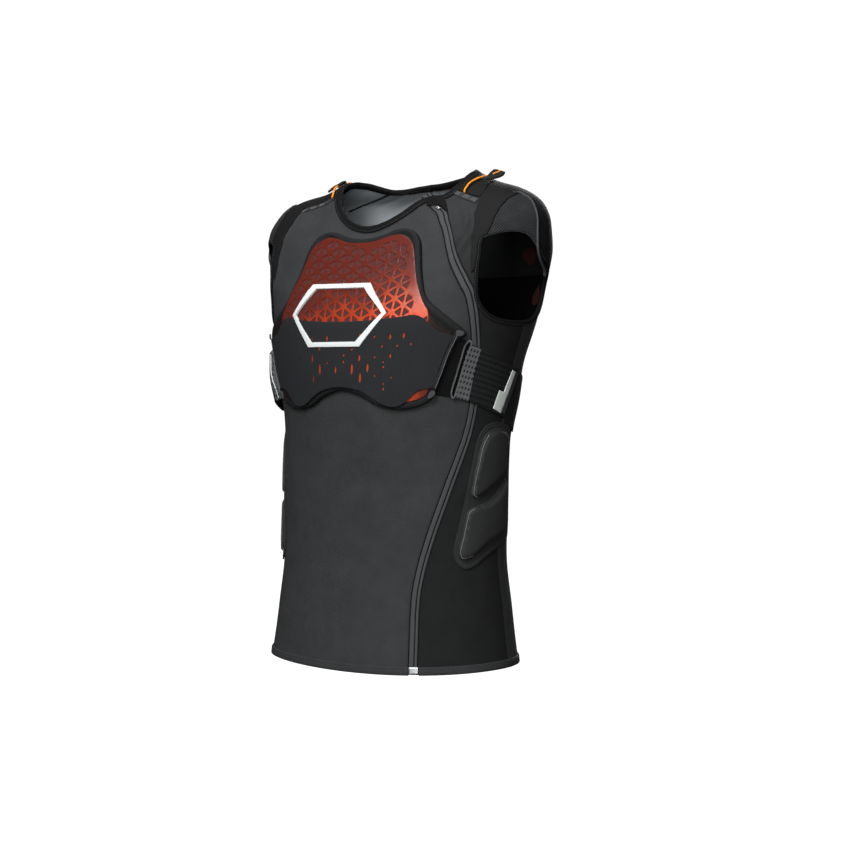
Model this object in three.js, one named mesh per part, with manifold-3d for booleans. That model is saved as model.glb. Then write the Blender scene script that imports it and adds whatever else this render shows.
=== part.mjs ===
// Sleeveless protective vest in its worn shape, size small to medium, wearer facing -Y.
// The origin is where the vest rests on the shoulders, midway between them.
// Every soft panel is a sheet wrapped on one torso surface, addressed by two numbers:
// around, in degrees from the front centre towards the wearer's left (+X), and
// rise, the share of the way from the hem (0) to the neck edge (1).
import * as THREE from 'three'
import { mergeVertices } from 'three/addons/utils/BufferGeometryUtils.js'
import Module from 'manifold-3d'

const wasm = await Module()
wasm.setup()

// Main sizes in millimetres
const bodyHeight = 645
const shoulderHalfWidth = 223
const frontReach = 163
const backReach = 102
const hemDip = 6
const hemDipAround = 38
const neckTilt = 4

// Thicknesses and the clearance between neighbouring layers
const fabric = 2
const clearance = 0.4
const bindingThick = 1.3
const bandThick = 1.6
const capThick = 0.9
const stripThick = 1.2
const guardPadThick = 4
const guardPlateThick = 3
const guardCoverThick = 1.5
const emblemThick = 1
const strapThick = 2.6
const elasticThick = 1.6
const loopThick = 2.2
const tabThick = 0.8
const pipingThick = 1.4
const liningThick = 0.8
const padBaseThick = 2
const padThick = 7.5
const padEdgeThick = 1.8
const garageThick = 1.6
const sliderThick = 2.4
const lockThick = 5
const cordRadius = 1.3

// Widths of the narrow strips
const bindingWidth = 4.6
const zipInnerWidth = 3.6
const zipOuterWidth = 2.6
const zipGapWidth = 1
const pipingWidth = 2.2
const emblemStroke = 6
const loopBar = 2.4

// The lattice of the chest plate
const latticePitch = 17.9
const latticeColumn = 4.25
const latticeHoleShare = 0.62
const latticeHoleTurn = 2
const latticeStart = 0.6225

// Grid of facets that every sheet shares
const aroundStep = 12
const rises = [
  0, 0.0131, 0.1203, 0.2403, 0.3603, 0.4507, 0.5303, 0.6003, 0.6553, 0.7053, 0.7503,
  0.7903, 0.8253, 0.8603, 0.9053, 0.9503, 0.9873, 1,
]

// Sections of the torso from hem to neck. side is a share of the shoulder half width,
// front and back are shares of the front and back reach, the three rises are shares of
// the body height, and middle is where the widest line sits from front (0) to back (1).
const sectionColumns = ['side', 'sideRise', 'front', 'frontRise', 'back', 'backRise', 'middle']
const sections = [
  [0.825, -0.9550, 1.000, -0.9612, 0.755, -0.9550, 0.504],
  [0.780, -0.8403, 0.939, -0.8450, 0.696, -0.8403, 0.500],
  [0.744, -0.7287, 0.908, -0.7318, 0.657, -0.7287, 0.498],
  [0.740, -0.5907, 0.902, -0.5907, 0.657, -0.5907, 0.500],
  [0.749, -0.4868, 0.914, -0.4868, 0.735, -0.4868, 0.504],
  [0.798, -0.3628, 0.939, -0.3659, 0.882, -0.3628, 0.523],
  [0.861, -0.2791, 0.926, -0.2853, 0.980, -0.2791, 0.518],
  [0.924, -0.2016, 0.859, -0.2171, 1.000, -0.1969, 0.500],
  [0.973, -0.1550, 0.779, -0.1783, 0.971, -0.1519, 0.482],
  [1.000, -0.1116, 0.724, -0.1473, 0.912, -0.1085, 0.479],
  [0.987, -0.0651, 0.687, -0.1240, 0.843, -0.0667, 0.495],
  [0.919, -0.0233, 0.650, -0.1054, 0.775, -0.0279, 0.535],
  [0.789, 0.0016, 0.620, -0.0915, 0.696, 0.0000, 0.576],
  [0.587, 0.0202, 0.595, -0.0791, 0.578, 0.0186, 0.622],
  [0.439, 0.0450, 0.583, -0.0698, 0.471, 0.0279, 0.664],
]

// Outlines of the panels as rows of [around, rise], on the wearer's left or centred
const guardHalf = [
  [0, 0.858], [9, 0.872], [16, 0.892], [20, 0.884], [22.6, 0.858], [23.8, 0.815],
  [25.4, 0.745], [29.3, 0.696], [33.8, 0.662], [42, 0.633], [51, 0.606], [54.5, 0.594],
  [50, 0.576], [46.8, 0.525], [44, 0.482], [41, 0.469], [34.5, 0.459], [26, 0.456],
  [18, 0.463], [10, 0.480], [0, 0.491],
]
const plateHalf = [
  [0, 0.829], [6, 0.833], [12, 0.849], [16, 0.851], [19, 0.832], [21.4, 0.800],
  [23.2, 0.750], [26, 0.709], [29.5, 0.678], [33, 0.651], [35.4, 0.636], [35.4, 0.6135],
  [19, 0.613], [0, 0.612],
]
const latticeHalf = [
  [0, 0.8165], [6, 0.8205], [12, 0.837], [15.5, 0.839], [17.5, 0.826], [19.5, 0.797],
  [21.2, 0.747], [24, 0.706], [27.5, 0.673], [30.9, 0.6455], [34.2, 0.6245],
  [34.8, 0.6235], [29, 0.6235], [19, 0.620], [9, 0.6185], [0, 0.6185],
]
const plateLowerHalf = [
  [0, 0.611], [19, 0.612], [35.6, 0.6125], [35.6, 0.6345], [42, 0.607], [47.5, 0.597],
  [46.9, 0.585], [44.5, 0.540], [42, 0.498], [40, 0.481], [35.5, 0.473],
  [30, 0.469], [24, 0.4702], [17, 0.479], [10, 0.493], [0, 0.502],
]
const coverHalf = [
  [0, 0.6195], [10, 0.6205], [19, 0.6235], [26, 0.6275], [30.5, 0.6295], [34, 0.624],
  [37, 0.613], [40.5, 0.601], [45, 0.594], [48.2, 0.590], [47.6, 0.580], [46.3, 0.561],
  [44.6, 0.527], [42.4, 0.496], [39, 0.494], [35.5, 0.488], [32, 0.474], [28, 0.463],
  [24.5, 0.4615], [20.5, 0.466], [15.3, 0.479], [9.5, 0.491], [0, 0.4975],
]
const armholeRows = [
  [50.4, 0.786], [48.9, 0.770], [49.2, 0.745], [50.2, 0.718], [53, 0.686], [56, 0.658],
  [60, 0.639], [65, 0.626], [72, 0.6175], [82, 0.6145], [94, 0.6165], [103, 0.625],
  [109.5, 0.641], [112.5, 0.664], [111, 0.690], [106, 0.709], [98.5, 0.722],
  [90, 0.733], [84, 0.745], [79.5, 0.757], [75, 0.772], [69, 0.7825], [61, 0.788],
  [55, 0.7885],
]
const bandRows = [
  [47.4, 0.712], [44.8, 0.745], [44.4, 0.796], [48.9, 0.854], [59.5, 0.898],
  [74, 0.926], [88, 0.940], [98, 0.925], [103, 0.890], [103.5, 0.840],
  [103, 0.790], [105, 0.755], [109, 0.728],
]
const bandInnerRows = [
  [106, 0.7115], [99, 0.7245], [91, 0.7355], [86.5, 0.7475],
]
const capOuterRows = [
  [51.6, 0.790], [53.6, 0.8055], [56.6, 0.824], [62, 0.8455], [69, 0.8595],
  [79, 0.8665], [83.2, 0.856], [84.2, 0.835], [82.6, 0.812], [82, 0.785], [81.5, 0.762],
]
const capLowerRows = [
  [79.8, 0.7595], [75.2, 0.7745], [69.1, 0.7850], [61, 0.7905], [55, 0.791],
]
const yokeRows = [
  [60.2, 0.9005], [74, 0.9277], [88, 0.9418], [98.5, 0.9272], [102.5, 0.944],
  [102, 0.968], [97, 0.9845], [86, 0.985], [72, 0.985], [60.6, 0.985], [60.2, 0.945],
]
const tackRows = [
  [55.4, 0.9015], [59.6, 0.9035], [59.6, 0.945], [60, 0.983], [56, 0.983], [55.4, 0.945],
]
const zipRows = [
  [34.3, 0], [34.7, 0.049], [35.2, 0.099], [36.6, 0.140], [39.9, 0.186], [45.2, 0.243],
  [52.8, 0.310], [59.7, 0.368], [64.2, 0.411], [66.2, 0.451], [65.5, 0.500],
  [62.6, 0.555], [59, 0.597], [55.1, 0.631], [46.6, 0.692], [37, 0.774], [34.7, 0.800],
  [34.6, 0.849], [38.5, 0.900], [43, 0.945], [46.5, 1],
]
const garageRows = [
  [42.9, 0.984], [52.2, 0.984], [49.4, 0.950], [43.6, 0.9], [42.2, 0.907], [43.2, 0.945],
]
const sliderRows = [
  [37.6, 0.907], [40.8, 0.904], [42.2, 0.938], [39.6, 0.944],
]
const zipBoxRows = [
  [32.2, 0.0005], [36.4, 0.0005], [36.5, 0.0125], [32.1, 0.0125],
]
const padBaseRows = [
  [95, 0.428], [86, 0.4325], [80, 0.4315], [76, 0.427], [72.7, 0.417], [69.9, 0.401], [68, 0.371],
  [63.6, 0.310], [60.7, 0.270], [57.3, 0.230], [55.9, 0.202], [57.7, 0.184],
  [62.3, 0.174], [68.2, 0.178], [77, 0.194], [88, 0.209], [100, 0.218], [105, 0.235],
  [106, 0.290], [105.5, 0.350], [104, 0.400], [101, 0.421],
]
const padUpperRows = [
  [90, 0.421], [83.4, 0.4225], [75.4, 0.412], [71.9, 0.391], [69.5, 0.359],
  [67, 0.322], [66.6, 0.304], [69, 0.2985], [75, 0.304], [83.2, 0.317], [92, 0.335],
  [97, 0.352], [98, 0.385], [95.5, 0.412],
]
const padLowerRows = [
  [96, 0.331], [86, 0.306], [77, 0.291], [67.5, 0.2825], [64.3, 0.276], [62.7, 0.262],
  [60.4, 0.230], [58.6, 0.203], [60.4, 0.191], [67, 0.195], [78.5, 0.216],
  [92, 0.232], [98, 0.242], [99.5, 0.285], [99, 0.322],
]
const elasticGuardRows = [[52.5, 0.586], [50, 0.576], [46.8, 0.525], [44, 0.482]]
const foldRows = [[54.9, 0.4765], [56, 0.515], [57, 0.545], [58, 0.5735]]
const loopRows = [
  [54.7, 0.574], [56.5, 0.582], [58.2, 0.575], [57.2, 0.545], [56.1, 0.515],
  [55.2, 0.481], [53.3, 0.4735], [51.6, 0.481], [52.7, 0.515], [53.8, 0.545],
]
const webbingRows = [
  [75, 0.549], [90, 0.532], [97.2, 0.5285], [95.6, 0.506], [93, 0.478],
  [89.8, 0.441], [78.3, 0.452], [66, 0.4655],
]
const tabRows = [
  [88.3, 0.5265], [92, 0.5235], [88.8, 0.487], [85, 0.449], [78.2, 0.4575],
  [80.6, 0.490], [84.5, 0.487],
]
const strapEndRows = [
  [92.5, 0.5235], [96.2, 0.521], [92.8, 0.483], [89, 0.4475], [85.6, 0.4495],
  [89.3, 0.487],
]
const backStrapRows = [
  [97.9, 0.5275], [118, 0.5085], [138.5, 0.502], [138.5, 0.490], [140.2, 0.430], [113, 0.424],
  [90.4, 0.435], [93.6, 0.478], [96.2, 0.506],
]
const cornerTopRows = [
  [48.9, 0.601], [53.2, 0.5975], [53.4, 0.591], [49.4, 0.588], [48.8, 0.592],
]
const cornerLowRows = [
  [41.5, 0.487], [43.2, 0.4905], [44.2, 0.4835], [41.2, 0.475],
]
const liningRows = [
  [118, 0.985], [118, 0.900], [116, 0.820], [115, 0.765], [117, 0.7055],
  [243, 0.7055], [245, 0.765], [244, 0.820], [242, 0.900], [242, 0.985],
]
const lockRows = [
  [91.2, 0.9715], [97.8, 0.9715], [98.6, 0.958], [97.4, 0.942], [94.4, 0.926],
  [91.6, 0.942], [90.4, 0.958],
]
const cordRows = [
  [60.9, 0.934, 0], [63, 0.945, 1.4], [68.6, 0.955, 2.4], [76, 0.960, 2.4],
  [83.2, 0.962, 1.6], [89.0, 0.9635, 1],
]

// A plain elongated badge frame in the middle of the chest, and its two halves
const emblemCentre = [-3.5, 0.634]
const emblemHalfWidth = 78
const emblemHalfHeight = 40
const emblemPoint = 34
const emblemSplit = 0.6285

// Upright drop-shaped slots of the cover: [around, rise, length share of the longest]
const slotLongest = 14
const slotWidth = 3.4
const slotRows = [
  [-14.3, 0.588, 0.7], [-10.3, 0.572, 0.7], [-14.4, 0.551, 0.85], [-10.2, 0.531, 1],
  [-14.2, 0.513, 0.75], [-1.8, 0.528, 0.55], [6.2, 0.532, 0.7], [9.1, 0.589, 0.8],
  [9.6, 0.551, 0.7], [13.4, 0.533, 0.85], [10.2, 0.515, 0.85], [22.1, 0.590, 0.55],
  [27.6, 0.592, 0.55],
]

// A smooth curve through table values that never overshoots between two rows
function monotone(xs, ys) {
  const n = xs.length
  const slope = []
  for (let i = 0; i < n - 1; i++) slope.push((ys[i + 1] - ys[i]) / (xs[i + 1] - xs[i]))
  const tangent = new Array(n).fill(0)
  for (let i = 1; i < n - 1; i++) {
    if (slope[i - 1] * slope[i] <= 0) continue
    const before = xs[i] - xs[i - 1]
    const after = xs[i + 1] - xs[i]
    const weightBefore = 2 * after + before
    const weightAfter = after + 2 * before
    tangent[i] = (weightBefore + weightAfter)
      / (weightBefore / slope[i - 1] + weightAfter / slope[i])
  }
  tangent[0] = slope[0]
  tangent[n - 1] = slope[n - 2]
  return (x) => {
    let i = 0
    while (i < n - 2 && x > xs[i + 1]) i += 1
    const width = xs[i + 1] - xs[i]
    const s = (x - xs[i]) / width
    const a = ys[i] * (1 + 2 * s) * (1 - s) ** 2
    const b = tangent[i] * width * s * (1 - s) ** 2
    const c = ys[i + 1] * s * s * (3 - 2 * s)
    const d = tangent[i + 1] * width * s * s * (s - 1)
    return a + b + c + d
  }
}

// The sections in millimetres, with their shares of the way up along the side
const sizeOf = {
  side: shoulderHalfWidth,
  sideRise: bodyHeight,
  front: -frontReach,
  frontRise: bodyHeight,
  back: backReach,
  backRise: bodyHeight,
  middle: 1,
}
const columns = sectionColumns.map((name, k) => sections.map((row) => row[k] * sizeOf[name]))
const along = [0]
for (let i = 1; i < sections.length; i++) {
  const across = columns[0][i] - columns[0][i - 1]
  const up = columns[1][i] - columns[1][i - 1]
  along.push(along[i - 1] + Math.hypot(across, up))
}
const shares = along.map((length) => length / along[along.length - 1])
const curves = columns.map((values) => monotone(shares, values))

// The point of the outer surface at one place around and one share of the rise
function surface(around, rise) {
  const angle = THREE.MathUtils.degToRad(around)
  const [side, sideZ, front, frontZ, back, backZ, middle] = curves.map((f) => f(rise))
  const centre = front + (back - front) * middle
  const sin = Math.sin(angle)
  const cos = Math.cos(angle)
  const reach = cos > 0 ? centre - front : back - centre
  const lift = cos > 0 ? frontZ - sideZ : backZ - sideZ
  const dipAngle = THREE.MathUtils.degToRad(around - hemDipAround)
  const dip = hemDip * Math.max(0, Math.cos(dipAngle)) ** 2 * Math.max(0, 1 - rise / 0.12)
  const tilt = neckTilt * sin * Math.max(0, (rise - 0.85) / 0.15)
  return new THREE.Vector3(side * sin, centre - reach * cos, sideZ + lift * cos * cos - dip + tilt)
}

// The outward direction of the surface, and the surface moved along it
function outward(around, rise) {
  const step = 0.001
  const low = Math.max(0, rise - step)
  const high = Math.min(1, rise + step)
  const acrossVector = surface(around + 0.1, rise).sub(surface(around - 0.1, rise))
  const upVector = surface(around, high).sub(surface(around, low))
  return acrossVector.cross(upVector).normalize()
}

function lifted(around, rise, height) {
  return surface(around, rise).addScaledVector(outward(around, rise), height)
}

// Millimetres per degree around and per unit of rise at one place
function scaleAt(around, rise) {
  const step = 0.002
  const low = Math.max(0, rise - step)
  const high = Math.min(1, rise + step)
  const perDegree = surface(around + 0.5, rise).distanceTo(surface(around - 0.5, rise))
  const perRise = surface(around, high).distanceTo(surface(around, low)) / (high - low)
  return [perDegree, perRise]
}

// The grid corner of the shared facets, moved outward by a height
function corner(i, j, height) {
  return lifted(i * aroundStep, rises[j], height)
}

// Each grid cell is two flat triangles, joined along the diagonal that bulges outward
function leansRight(i) {
  const halfTurn = 180 / aroundStep
  return ((((i + 0.5) % halfTurn) + halfTurn) % halfTurn) * 2 < halfTurn
}

function sideOfDiagonal(around, rise, i, j) {
  const across = around / aroundStep - i
  const up = (rise - rises[j]) / (rises[j + 1] - rises[j])
  return leansRight(i) ? across - up : across + up - 1
}

// The point of the shared facets at one place in a grid cell, moved outward by a height
function between(around, rise, height, i, j) {
  const across = around / aroundStep - i
  const up = (rise - rises[j]) / (rises[j + 1] - rises[j])
  const right = sideOfDiagonal(around, rise, i, j) > 0
  const shares = leansRight(i)
    ? { a: 1 - Math.max(across, up), b: right ? across - up : 0, c: right ? 0 : up - across }
    : { a: right ? 0 : 1 - across - up, b: right ? 1 - up : across, c: right ? 1 - across : up }
  return corner(i + 1, j + 1, height).multiplyScalar(1 - shares.a - shares.b - shares.c)
    .addScaledVector(corner(i, j, height), shares.a)
    .addScaledVector(corner(i + 1, j, height), shares.b)
    .addScaledVector(corner(i, j + 1, height), shares.c)
}

function onFacets(around, rise, height) {
  let j = 0
  while (j < rises.length - 2 && rise > rises[j + 1]) j += 1
  return between(around, rise, height, Math.floor(around / aroundStep), j)
}

// Splits a simple polygon where one of its coordinates has the value, into its two parts
function split(polygon, axis, value) {
  const loop = []
  const crossings = []
  polygon.forEach((p, k) => {
    const q = polygon[(k + 1) % polygon.length]
    loop.push({ point: p, above: p[axis] > value })
    if ((p[axis] > value) === (q[axis] > value)) return
    const share = (value - p[axis]) / (q[axis] - p[axis])
    const point = p.map((v, n) => v + (q[n] - v) * share)
    point[axis] = value
    crossings.push({ point, crossing: true, index: loop.length })
    loop.push(crossings[crossings.length - 1])
  })
  const other = axis === 0 ? 1 : 0
  crossings.sort((a, b) => a.point[other] - b.point[other])
  crossings.forEach((c, k) => { c.partner = crossings[k % 2 === 0 ? k + 1 : k - 1] })
  const parts = { below: [], above: [] }
  const used = new Set()
  loop.forEach((start, first) => {
    if (start.crossing || used.has(first)) return
    const part = []
    let k = first
    do {
      const item = loop[k]
      part.push(item.point)
      if (item.crossing) {
        part.push(item.partner.point)
        k = item.partner.index
      } else {
        used.add(k)
      }
      k = (k + 1) % loop.length
    } while (k !== first)
    parts[start.above ? 'above' : 'below'].push(part)
  })
  return parts
}

function signedArea(polygon) {
  let area = 0
  polygon.forEach((p, k) => {
    const q = polygon[(k + 1) % polygon.length]
    area += p[0] * q[1] - q[0] * p[1]
  })
  return area / 2
}

// The pieces of a polygon between the grid lines of one axis, as [first line, pieces] rows
function sliced(polygons, axis, lines) {
  let rest = polygons
  const result = []
  for (let k = 0; k < lines.length - 1 && rest.length > 0; k++) {
    const parts = k === lines.length - 2
      ? [{ below: rest, above: [] }]
      : rest.map((polygon) => split(polygon, axis, lines[k + 1]))
    result.push([k, parts.flatMap((part) => part.below)])
    rest = parts.flatMap((part) => part.above)
  }
  return result
}

// A closed sheet over an outline, between two heights above the torso surface. It follows
// the shared grid of facets, so that every layer lies flat on the one below it.
function wrapped(outline, low, high) {
  const polygon = signedArea(outline) > 0 ? outline : [...outline].reverse()
  const arounds = polygon.map((p) => p[0])
  const firstColumn = Math.floor(Math.min(...arounds) / aroundStep)
  const lastColumn = Math.ceil(Math.max(...arounds) / aroundStep)
  const columnLines = []
  for (let i = firstColumn; i <= lastColumn; i++) columnLines.push(i * aroundStep)
  const top = []
  const bottom = []
  const triangles = []
  const known = new Map()
  const vertexAt = (p, i, j) => {
    const turned = ((p[0] % 360) + 360) % 360
    const key = `${Math.round(turned * 1e5) % 36000000},${Math.round(p[1] * 1e7)}`
    if (!known.has(key)) {
      known.set(key, top.length)
      top.push(between(p[0], p[1], high, i, j))
      bottom.push(between(p[0], p[1], low, i, j))
    }
    return known.get(key)
  }
  for (const [column, slices] of sliced([polygon], 0, columnLines)) {
    for (const [j, pieces] of sliced(slices, 1, rises)) {
      const i = firstColumn + column
      const marked = pieces.map((piece) => piece.map(([around, rise]) => (
        [around, rise, sideOfDiagonal(around, rise, i, j)]
      )))
      const halves = marked.map((piece) => split(piece, 2, 0))
      for (const piece of halves.flatMap((half) => [...half.below, ...half.above])) {
        const flat = piece.map((v) => new THREE.Vector2(v[0], v[1] * 400))
        for (const face of THREE.ShapeUtils.triangulateShape(flat, [])) {
          const ids = face.map((k) => vertexAt(piece[k], i, j))
          if (new Set(ids).size < 3) continue
          const turn = signedArea(face.map((k) => piece[k]))
          triangles.push(turn > 0 ? ids : [ids[0], ids[2], ids[1]])
        }
      }
    }
  }
  return closedSheet(top, bottom, triangles)
}

// An outline with extra points where it crosses the grid lines
function gridded(outline) {
  const values = [Array.from({ length: 61 }, (_, k) => (k - 30) * aroundStep), rises]
  return outline.flatMap((p, k) => {
    const q = outline[(k + 1) % outline.length]
    const shares = values.flatMap((lines, axis) => lines
      .filter((value) => (p[axis] > value) !== (q[axis] > value))
      .map((value) => (value - p[axis]) / (q[axis] - p[axis])))
      .filter((share) => share > 0.02 && share < 0.98)
      .sort((a, b) => a - b)
    const extra = shares.map((share) => [0, 1].map((n) => p[n] + (q[n] - p[n]) * share))
    return [p, ...extra]
  })
}

// A sheet that is not cut along the grid, because its holes or small size already divide it.
// It is divided on a slightly bent chart, where no three of its points lie on one line.
function pierced(outline, holes, low, high) {
  const bend = 2e-4
  const bent = ([around, rise]) => {
    const up = rise * 400
    return new THREE.Vector2(around + bend * up ** 2, up + bend * around ** 2)
  }
  const loops = [gridded(outline), ...holes]
  const points = loops.flat()
  const chart = loops.map((loop) => loop.map(bent))
  const flat = points.map((p) => bent(p).toArray())
  const triangles = THREE.ShapeUtils.triangulateShape(chart[0], chart.slice(1)).map((face) => {
    const turn = signedArea(face.map((k) => flat[k]))
    return turn > 0 ? face : [face[0], face[2], face[1]]
  })
  const top = points.map((p) => onFacets(p[0], p[1], high))
  const bottom = points.map((p) => onFacets(p[0], p[1], low))
  return closedSheet(top, bottom, shortened(triangles, flat, bottom))
}

// Turns the shared edge of two neighbouring triangles wherever the other diagonal is shorter
function shortened(triangles, flat, places) {
  const least = 1e-4
  let faces = triangles
  for (let turned = true; turned;) {
    turned = false
    const owner = new Map()
    faces.forEach((face, t) => {
      face.forEach((a, k) => owner.set(`${a},${face[(k + 1) % 3]}`, t))
    })
    const done = new Set()
    const next = [...faces]
    faces.forEach((face, t) => {
      for (let k = 0; k < 3 && !done.has(t); k++) {
        const [a, b, c] = [face[k], face[(k + 1) % 3], face[(k + 2) % 3]]
        const other = owner.get(`${b},${a}`)
        if (other === undefined || done.has(other)) continue
        const d = faces[other].find((v) => v !== a && v !== b)
        const pair = [[a, d, c], [d, b, c]]
        if (places[c].distanceTo(places[d]) >= places[a].distanceTo(places[b]) - least) continue
        if (pair.some((one) => signedArea(one.map((v) => flat[v])) < least)) continue
        next[t] = pair[0]
        next[other] = pair[1]
        done.add(t)
        done.add(other)
        turned = true
      }
    })
    faces = next
  }
  return faces
}

// Joins a top and a bottom layer of the same triangles with a wall along their free edges
function closedSheet(top, bottom, triangles) {
  const count = top.length
  const edges = new Set()
  for (const [a, b, c] of triangles) {
    edges.add(`${a},${b}`)
    edges.add(`${b},${c}`)
    edges.add(`${c},${a}`)
  }
  const index = []
  for (const [a, b, c] of triangles) {
    index.push(a, b, c, a + count, c + count, b + count)
    for (const [from, to] of [[a, b], [b, c], [c, a]]) {
      if (edges.has(`${to},${from}`)) continue
      index.push(to, from, from + count, to, from + count, to + count)
    }
  }
  const geometry = new THREE.BufferGeometry()
  const points = [...top, ...bottom].flatMap((v) => [v.x, v.y, v.z])
  geometry.setAttribute('position', new THREE.Float32BufferAttribute(points, 3))
  geometry.setIndex(index)
  return geometry
}

// A smooth closed outline through the rows of a table
function rounded(rows, perRow = 2) {
  const points = rows.map(([around, rise]) => new THREE.Vector3(around, rise * 400, 0))
  const curve = new THREE.CatmullRomCurve3(points, true, 'centripetal')
  const result = []
  for (let k = 0; k < rows.length * perRow; k++) {
    const p = curve.getPoint(k / (rows.length * perRow))
    result.push([p.x, p.y / 400])
  }
  return result
}

// A smooth open path through the rows of a table
function smoothPath(rows, steps) {
  const points = rows.map(([around, rise]) => new THREE.Vector3(around, rise * 400, 0))
  const curve = new THREE.CatmullRomCurve3(points, false, 'centripetal')
  return curve.getPoints(steps).map((p) => [p.x, p.y / 400])
}

// A path moved sideways by millimetres, to its left when the distance is positive
function offsetPath(path, distance, closed = false) {
  return path.map((p, k) => {
    const last = path.length - 1
    const before = path[k > 0 ? k - 1 : closed ? last : 0]
    const after = path[k < last ? k + 1 : closed ? 0 : last]
    const [perDegree, perRise] = scaleAt(p[0], p[1])
    const dx = (after[0] - before[0]) * perDegree
    const dy = (after[1] - before[1]) * perRise
    const length = Math.hypot(dx, dy)
    return [
      p[0] - (dy / length) * distance / perDegree,
      Math.min(1, Math.max(0, p[1] + (dx / length) * distance / perRise)),
    ]
  })
}

// The strip between two distances beside a path
function strip(path, near, far) {
  return [...offsetPath(path, near), ...offsetPath(path, far).reverse()]
}

// The other half of a centred outline, and the wearer's right side of a left outline
function bothHalves(half, centre = 0) {
  const inner = half.slice(1, -1).map(([around, rise]) => [2 * centre - around, rise])
  return [...half, ...inner.reverse()]
}

function onSide(rows, side) {
  return side > 0 ? rows : rows.map(([around, ...rest]) => [-around, ...rest])
}

// Solids for cutting, and back to geometry
function solid(geometry) {
  const bare = geometry.clone()
  bare.deleteAttribute('normal')
  bare.deleteAttribute('uv')
  const merged = mergeVertices(bare, 1e-5)
  return new wasm.Manifold(new wasm.Mesh({
    numProp: 3,
    vertProperties: new Float32Array(merged.attributes.position.array),
    triVerts: new Uint32Array(merged.index.array),
  }))
}

function geometryOf(manifold) {
  const mesh = manifold.getMesh()
  const geometry = new THREE.BufferGeometry()
  const points = new Float32Array(mesh.vertProperties)
  geometry.setAttribute('position', new THREE.BufferAttribute(points, 3))
  geometry.setIndex([...mesh.triVerts])
  return geometry
}

function cut(geometry, ...cutters) {
  let result = solid(geometry)
  for (const cutter of cutters) result = result.subtract(solid(cutter))
  return geometryOf(result)
}

// A rounded pad over an outline that every point sees from its middle
function domed(outline, low, edge, high) {
  const loops = [1, 0.84, 0.5]
  const polygon = signedArea(outline) > 0 ? outline : [...outline].reverse()
  const n = polygon.length
  const middle = [0, 1].map((k) => polygon.reduce((sum, p) => sum + p[k], 0) / n)
  const top = []
  const bottom = []
  for (const share of loops) {
    const swell = Math.sqrt(1 - share ** 6)
    for (const p of polygon) {
      const around = middle[0] + (p[0] - middle[0]) * share
      const rise = middle[1] + (p[1] - middle[1]) * share
      top.push(onFacets(around, rise, edge + (high - edge) * swell))
      bottom.push(onFacets(around, rise, low))
    }
  }
  top.push(onFacets(middle[0], middle[1], high))
  bottom.push(onFacets(middle[0], middle[1], low))
  const triangles = []
  for (let loop = 0; loop < loops.length - 1; loop++) {
    for (let k = 0; k < n; k++) {
      const a = loop * n + k
      const b = loop * n + ((k + 1) % n)
      triangles.push([a, b, b + n], [a, b + n, a + n])
    }
  }
  const last = (loops.length - 1) * n
  for (let k = 0; k < n; k++) triangles.push([last + k, last + ((k + 1) % n), loops.length * n])
  return closedSheet(top, bottom, triangles)
}

// A round cord along rows of [around, rise, height above its bed]
function cordAlong(rows, bed) {
  const points = rows.map(([around, rise, height]) => lifted(around, rise, bed + height))
  const curve = new THREE.CatmullRomCurve3(points)
  const section = new THREE.Shape()
  for (let k = 0; k < 6; k++) {
    const angle = (k / 6) * Math.PI * 2
    const x = Math.cos(angle) * cordRadius
    const y = Math.sin(angle) * cordRadius
    if (k === 0) section.moveTo(x, y)
    else section.lineTo(x, y)
  }
  return new THREE.ExtrudeGeometry(section, { steps: 8, extrudePath: curve })
}

// How far above the hem, along the front centre line, each rise lies
const frontSteps = 400
const frontLengths = [0]
for (let k = 1; k <= frontSteps; k++) {
  const length = surface(0, k / frontSteps).distanceTo(surface(0, (k - 1) / frontSteps))
  frontLengths.push(frontLengths[k - 1] + length)
}
function riseAbove(start, length) {
  const wanted = frontLengths[Math.round(start * frontSteps)] + length
  let k = 1
  while (k < frontSteps && frontLengths[k] < wanted) k += 1
  const part = (wanted - frontLengths[k - 1]) / (frontLengths[k] - frontLengths[k - 1])
  return (k - 1 + part) / frontSteps
}

// Colours, roughness and metalness of the materials
function material(color, roughness, metalness = 0) {
  return new THREE.MeshStandardMaterial({ color, roughness, metalness })
}
const charcoal = material(0x3b3b3b, 0.85)
const black = material(0x1c1c1c, 0.8)
const capGrey = material(0x2b2b2b, 0.9)
const rubberBlack = material(0x262626, 0.6)
const redPlastic = material(0x9c3a1e, 0.35)
const coverGrey = material(0x2f2f2f, 0.8)
const white = material(0xe4e8e8, 0.5)
const zipGrey = material(0x5f6163, 0.6)
const webbingGrey = material(0x262626, 0.85)
const silver = material(0xaaaeb0, 0.4, 0.6)
const tabGrey = material(0xaab0ac, 0.6)
const liningGrey = material(0x65696c, 0.9)
const orangeCord = material(0xff8a1e, 0.6)
const padBlack = material(0x232323, 0.75)

const vest = new THREE.Group()
function add(name, geometry, surfaceMaterial) {
  const mesh = new THREE.Mesh(geometry, surfaceMaterial)
  mesh.name = name
  vest.add(mesh)
}

// Heights of the stacked layers above the torso surface
const first = clearance
const plateLow = first + guardPadThick + 1.5 * clearance
const coverLow = plateLow + guardPlateThick + clearance
const plateTop = plateLow + guardPlateThick
const coverTop = coverLow + guardCoverThick
const emblemTop = coverTop + clearance + emblemThick
const tabLow = first + strapThick + clearance
const yokeTop = first + bandThick
const cordBed = yokeTop + clearance + cordRadius

// Body panels, with the armholes and the zip's slot between them
const armhole = rounded(armholeRows, 1)
const zipPath = smoothPath(zipRows, 16)
const zipHalf = (zipInnerWidth + zipOuterWidth + zipGapWidth) / 2
const zipLeft = offsetPath(zipPath, zipHalf + clearance)
const zipRight = offsetPath(zipPath, -zipHalf - clearance)
const seam = clearance / 4

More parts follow.
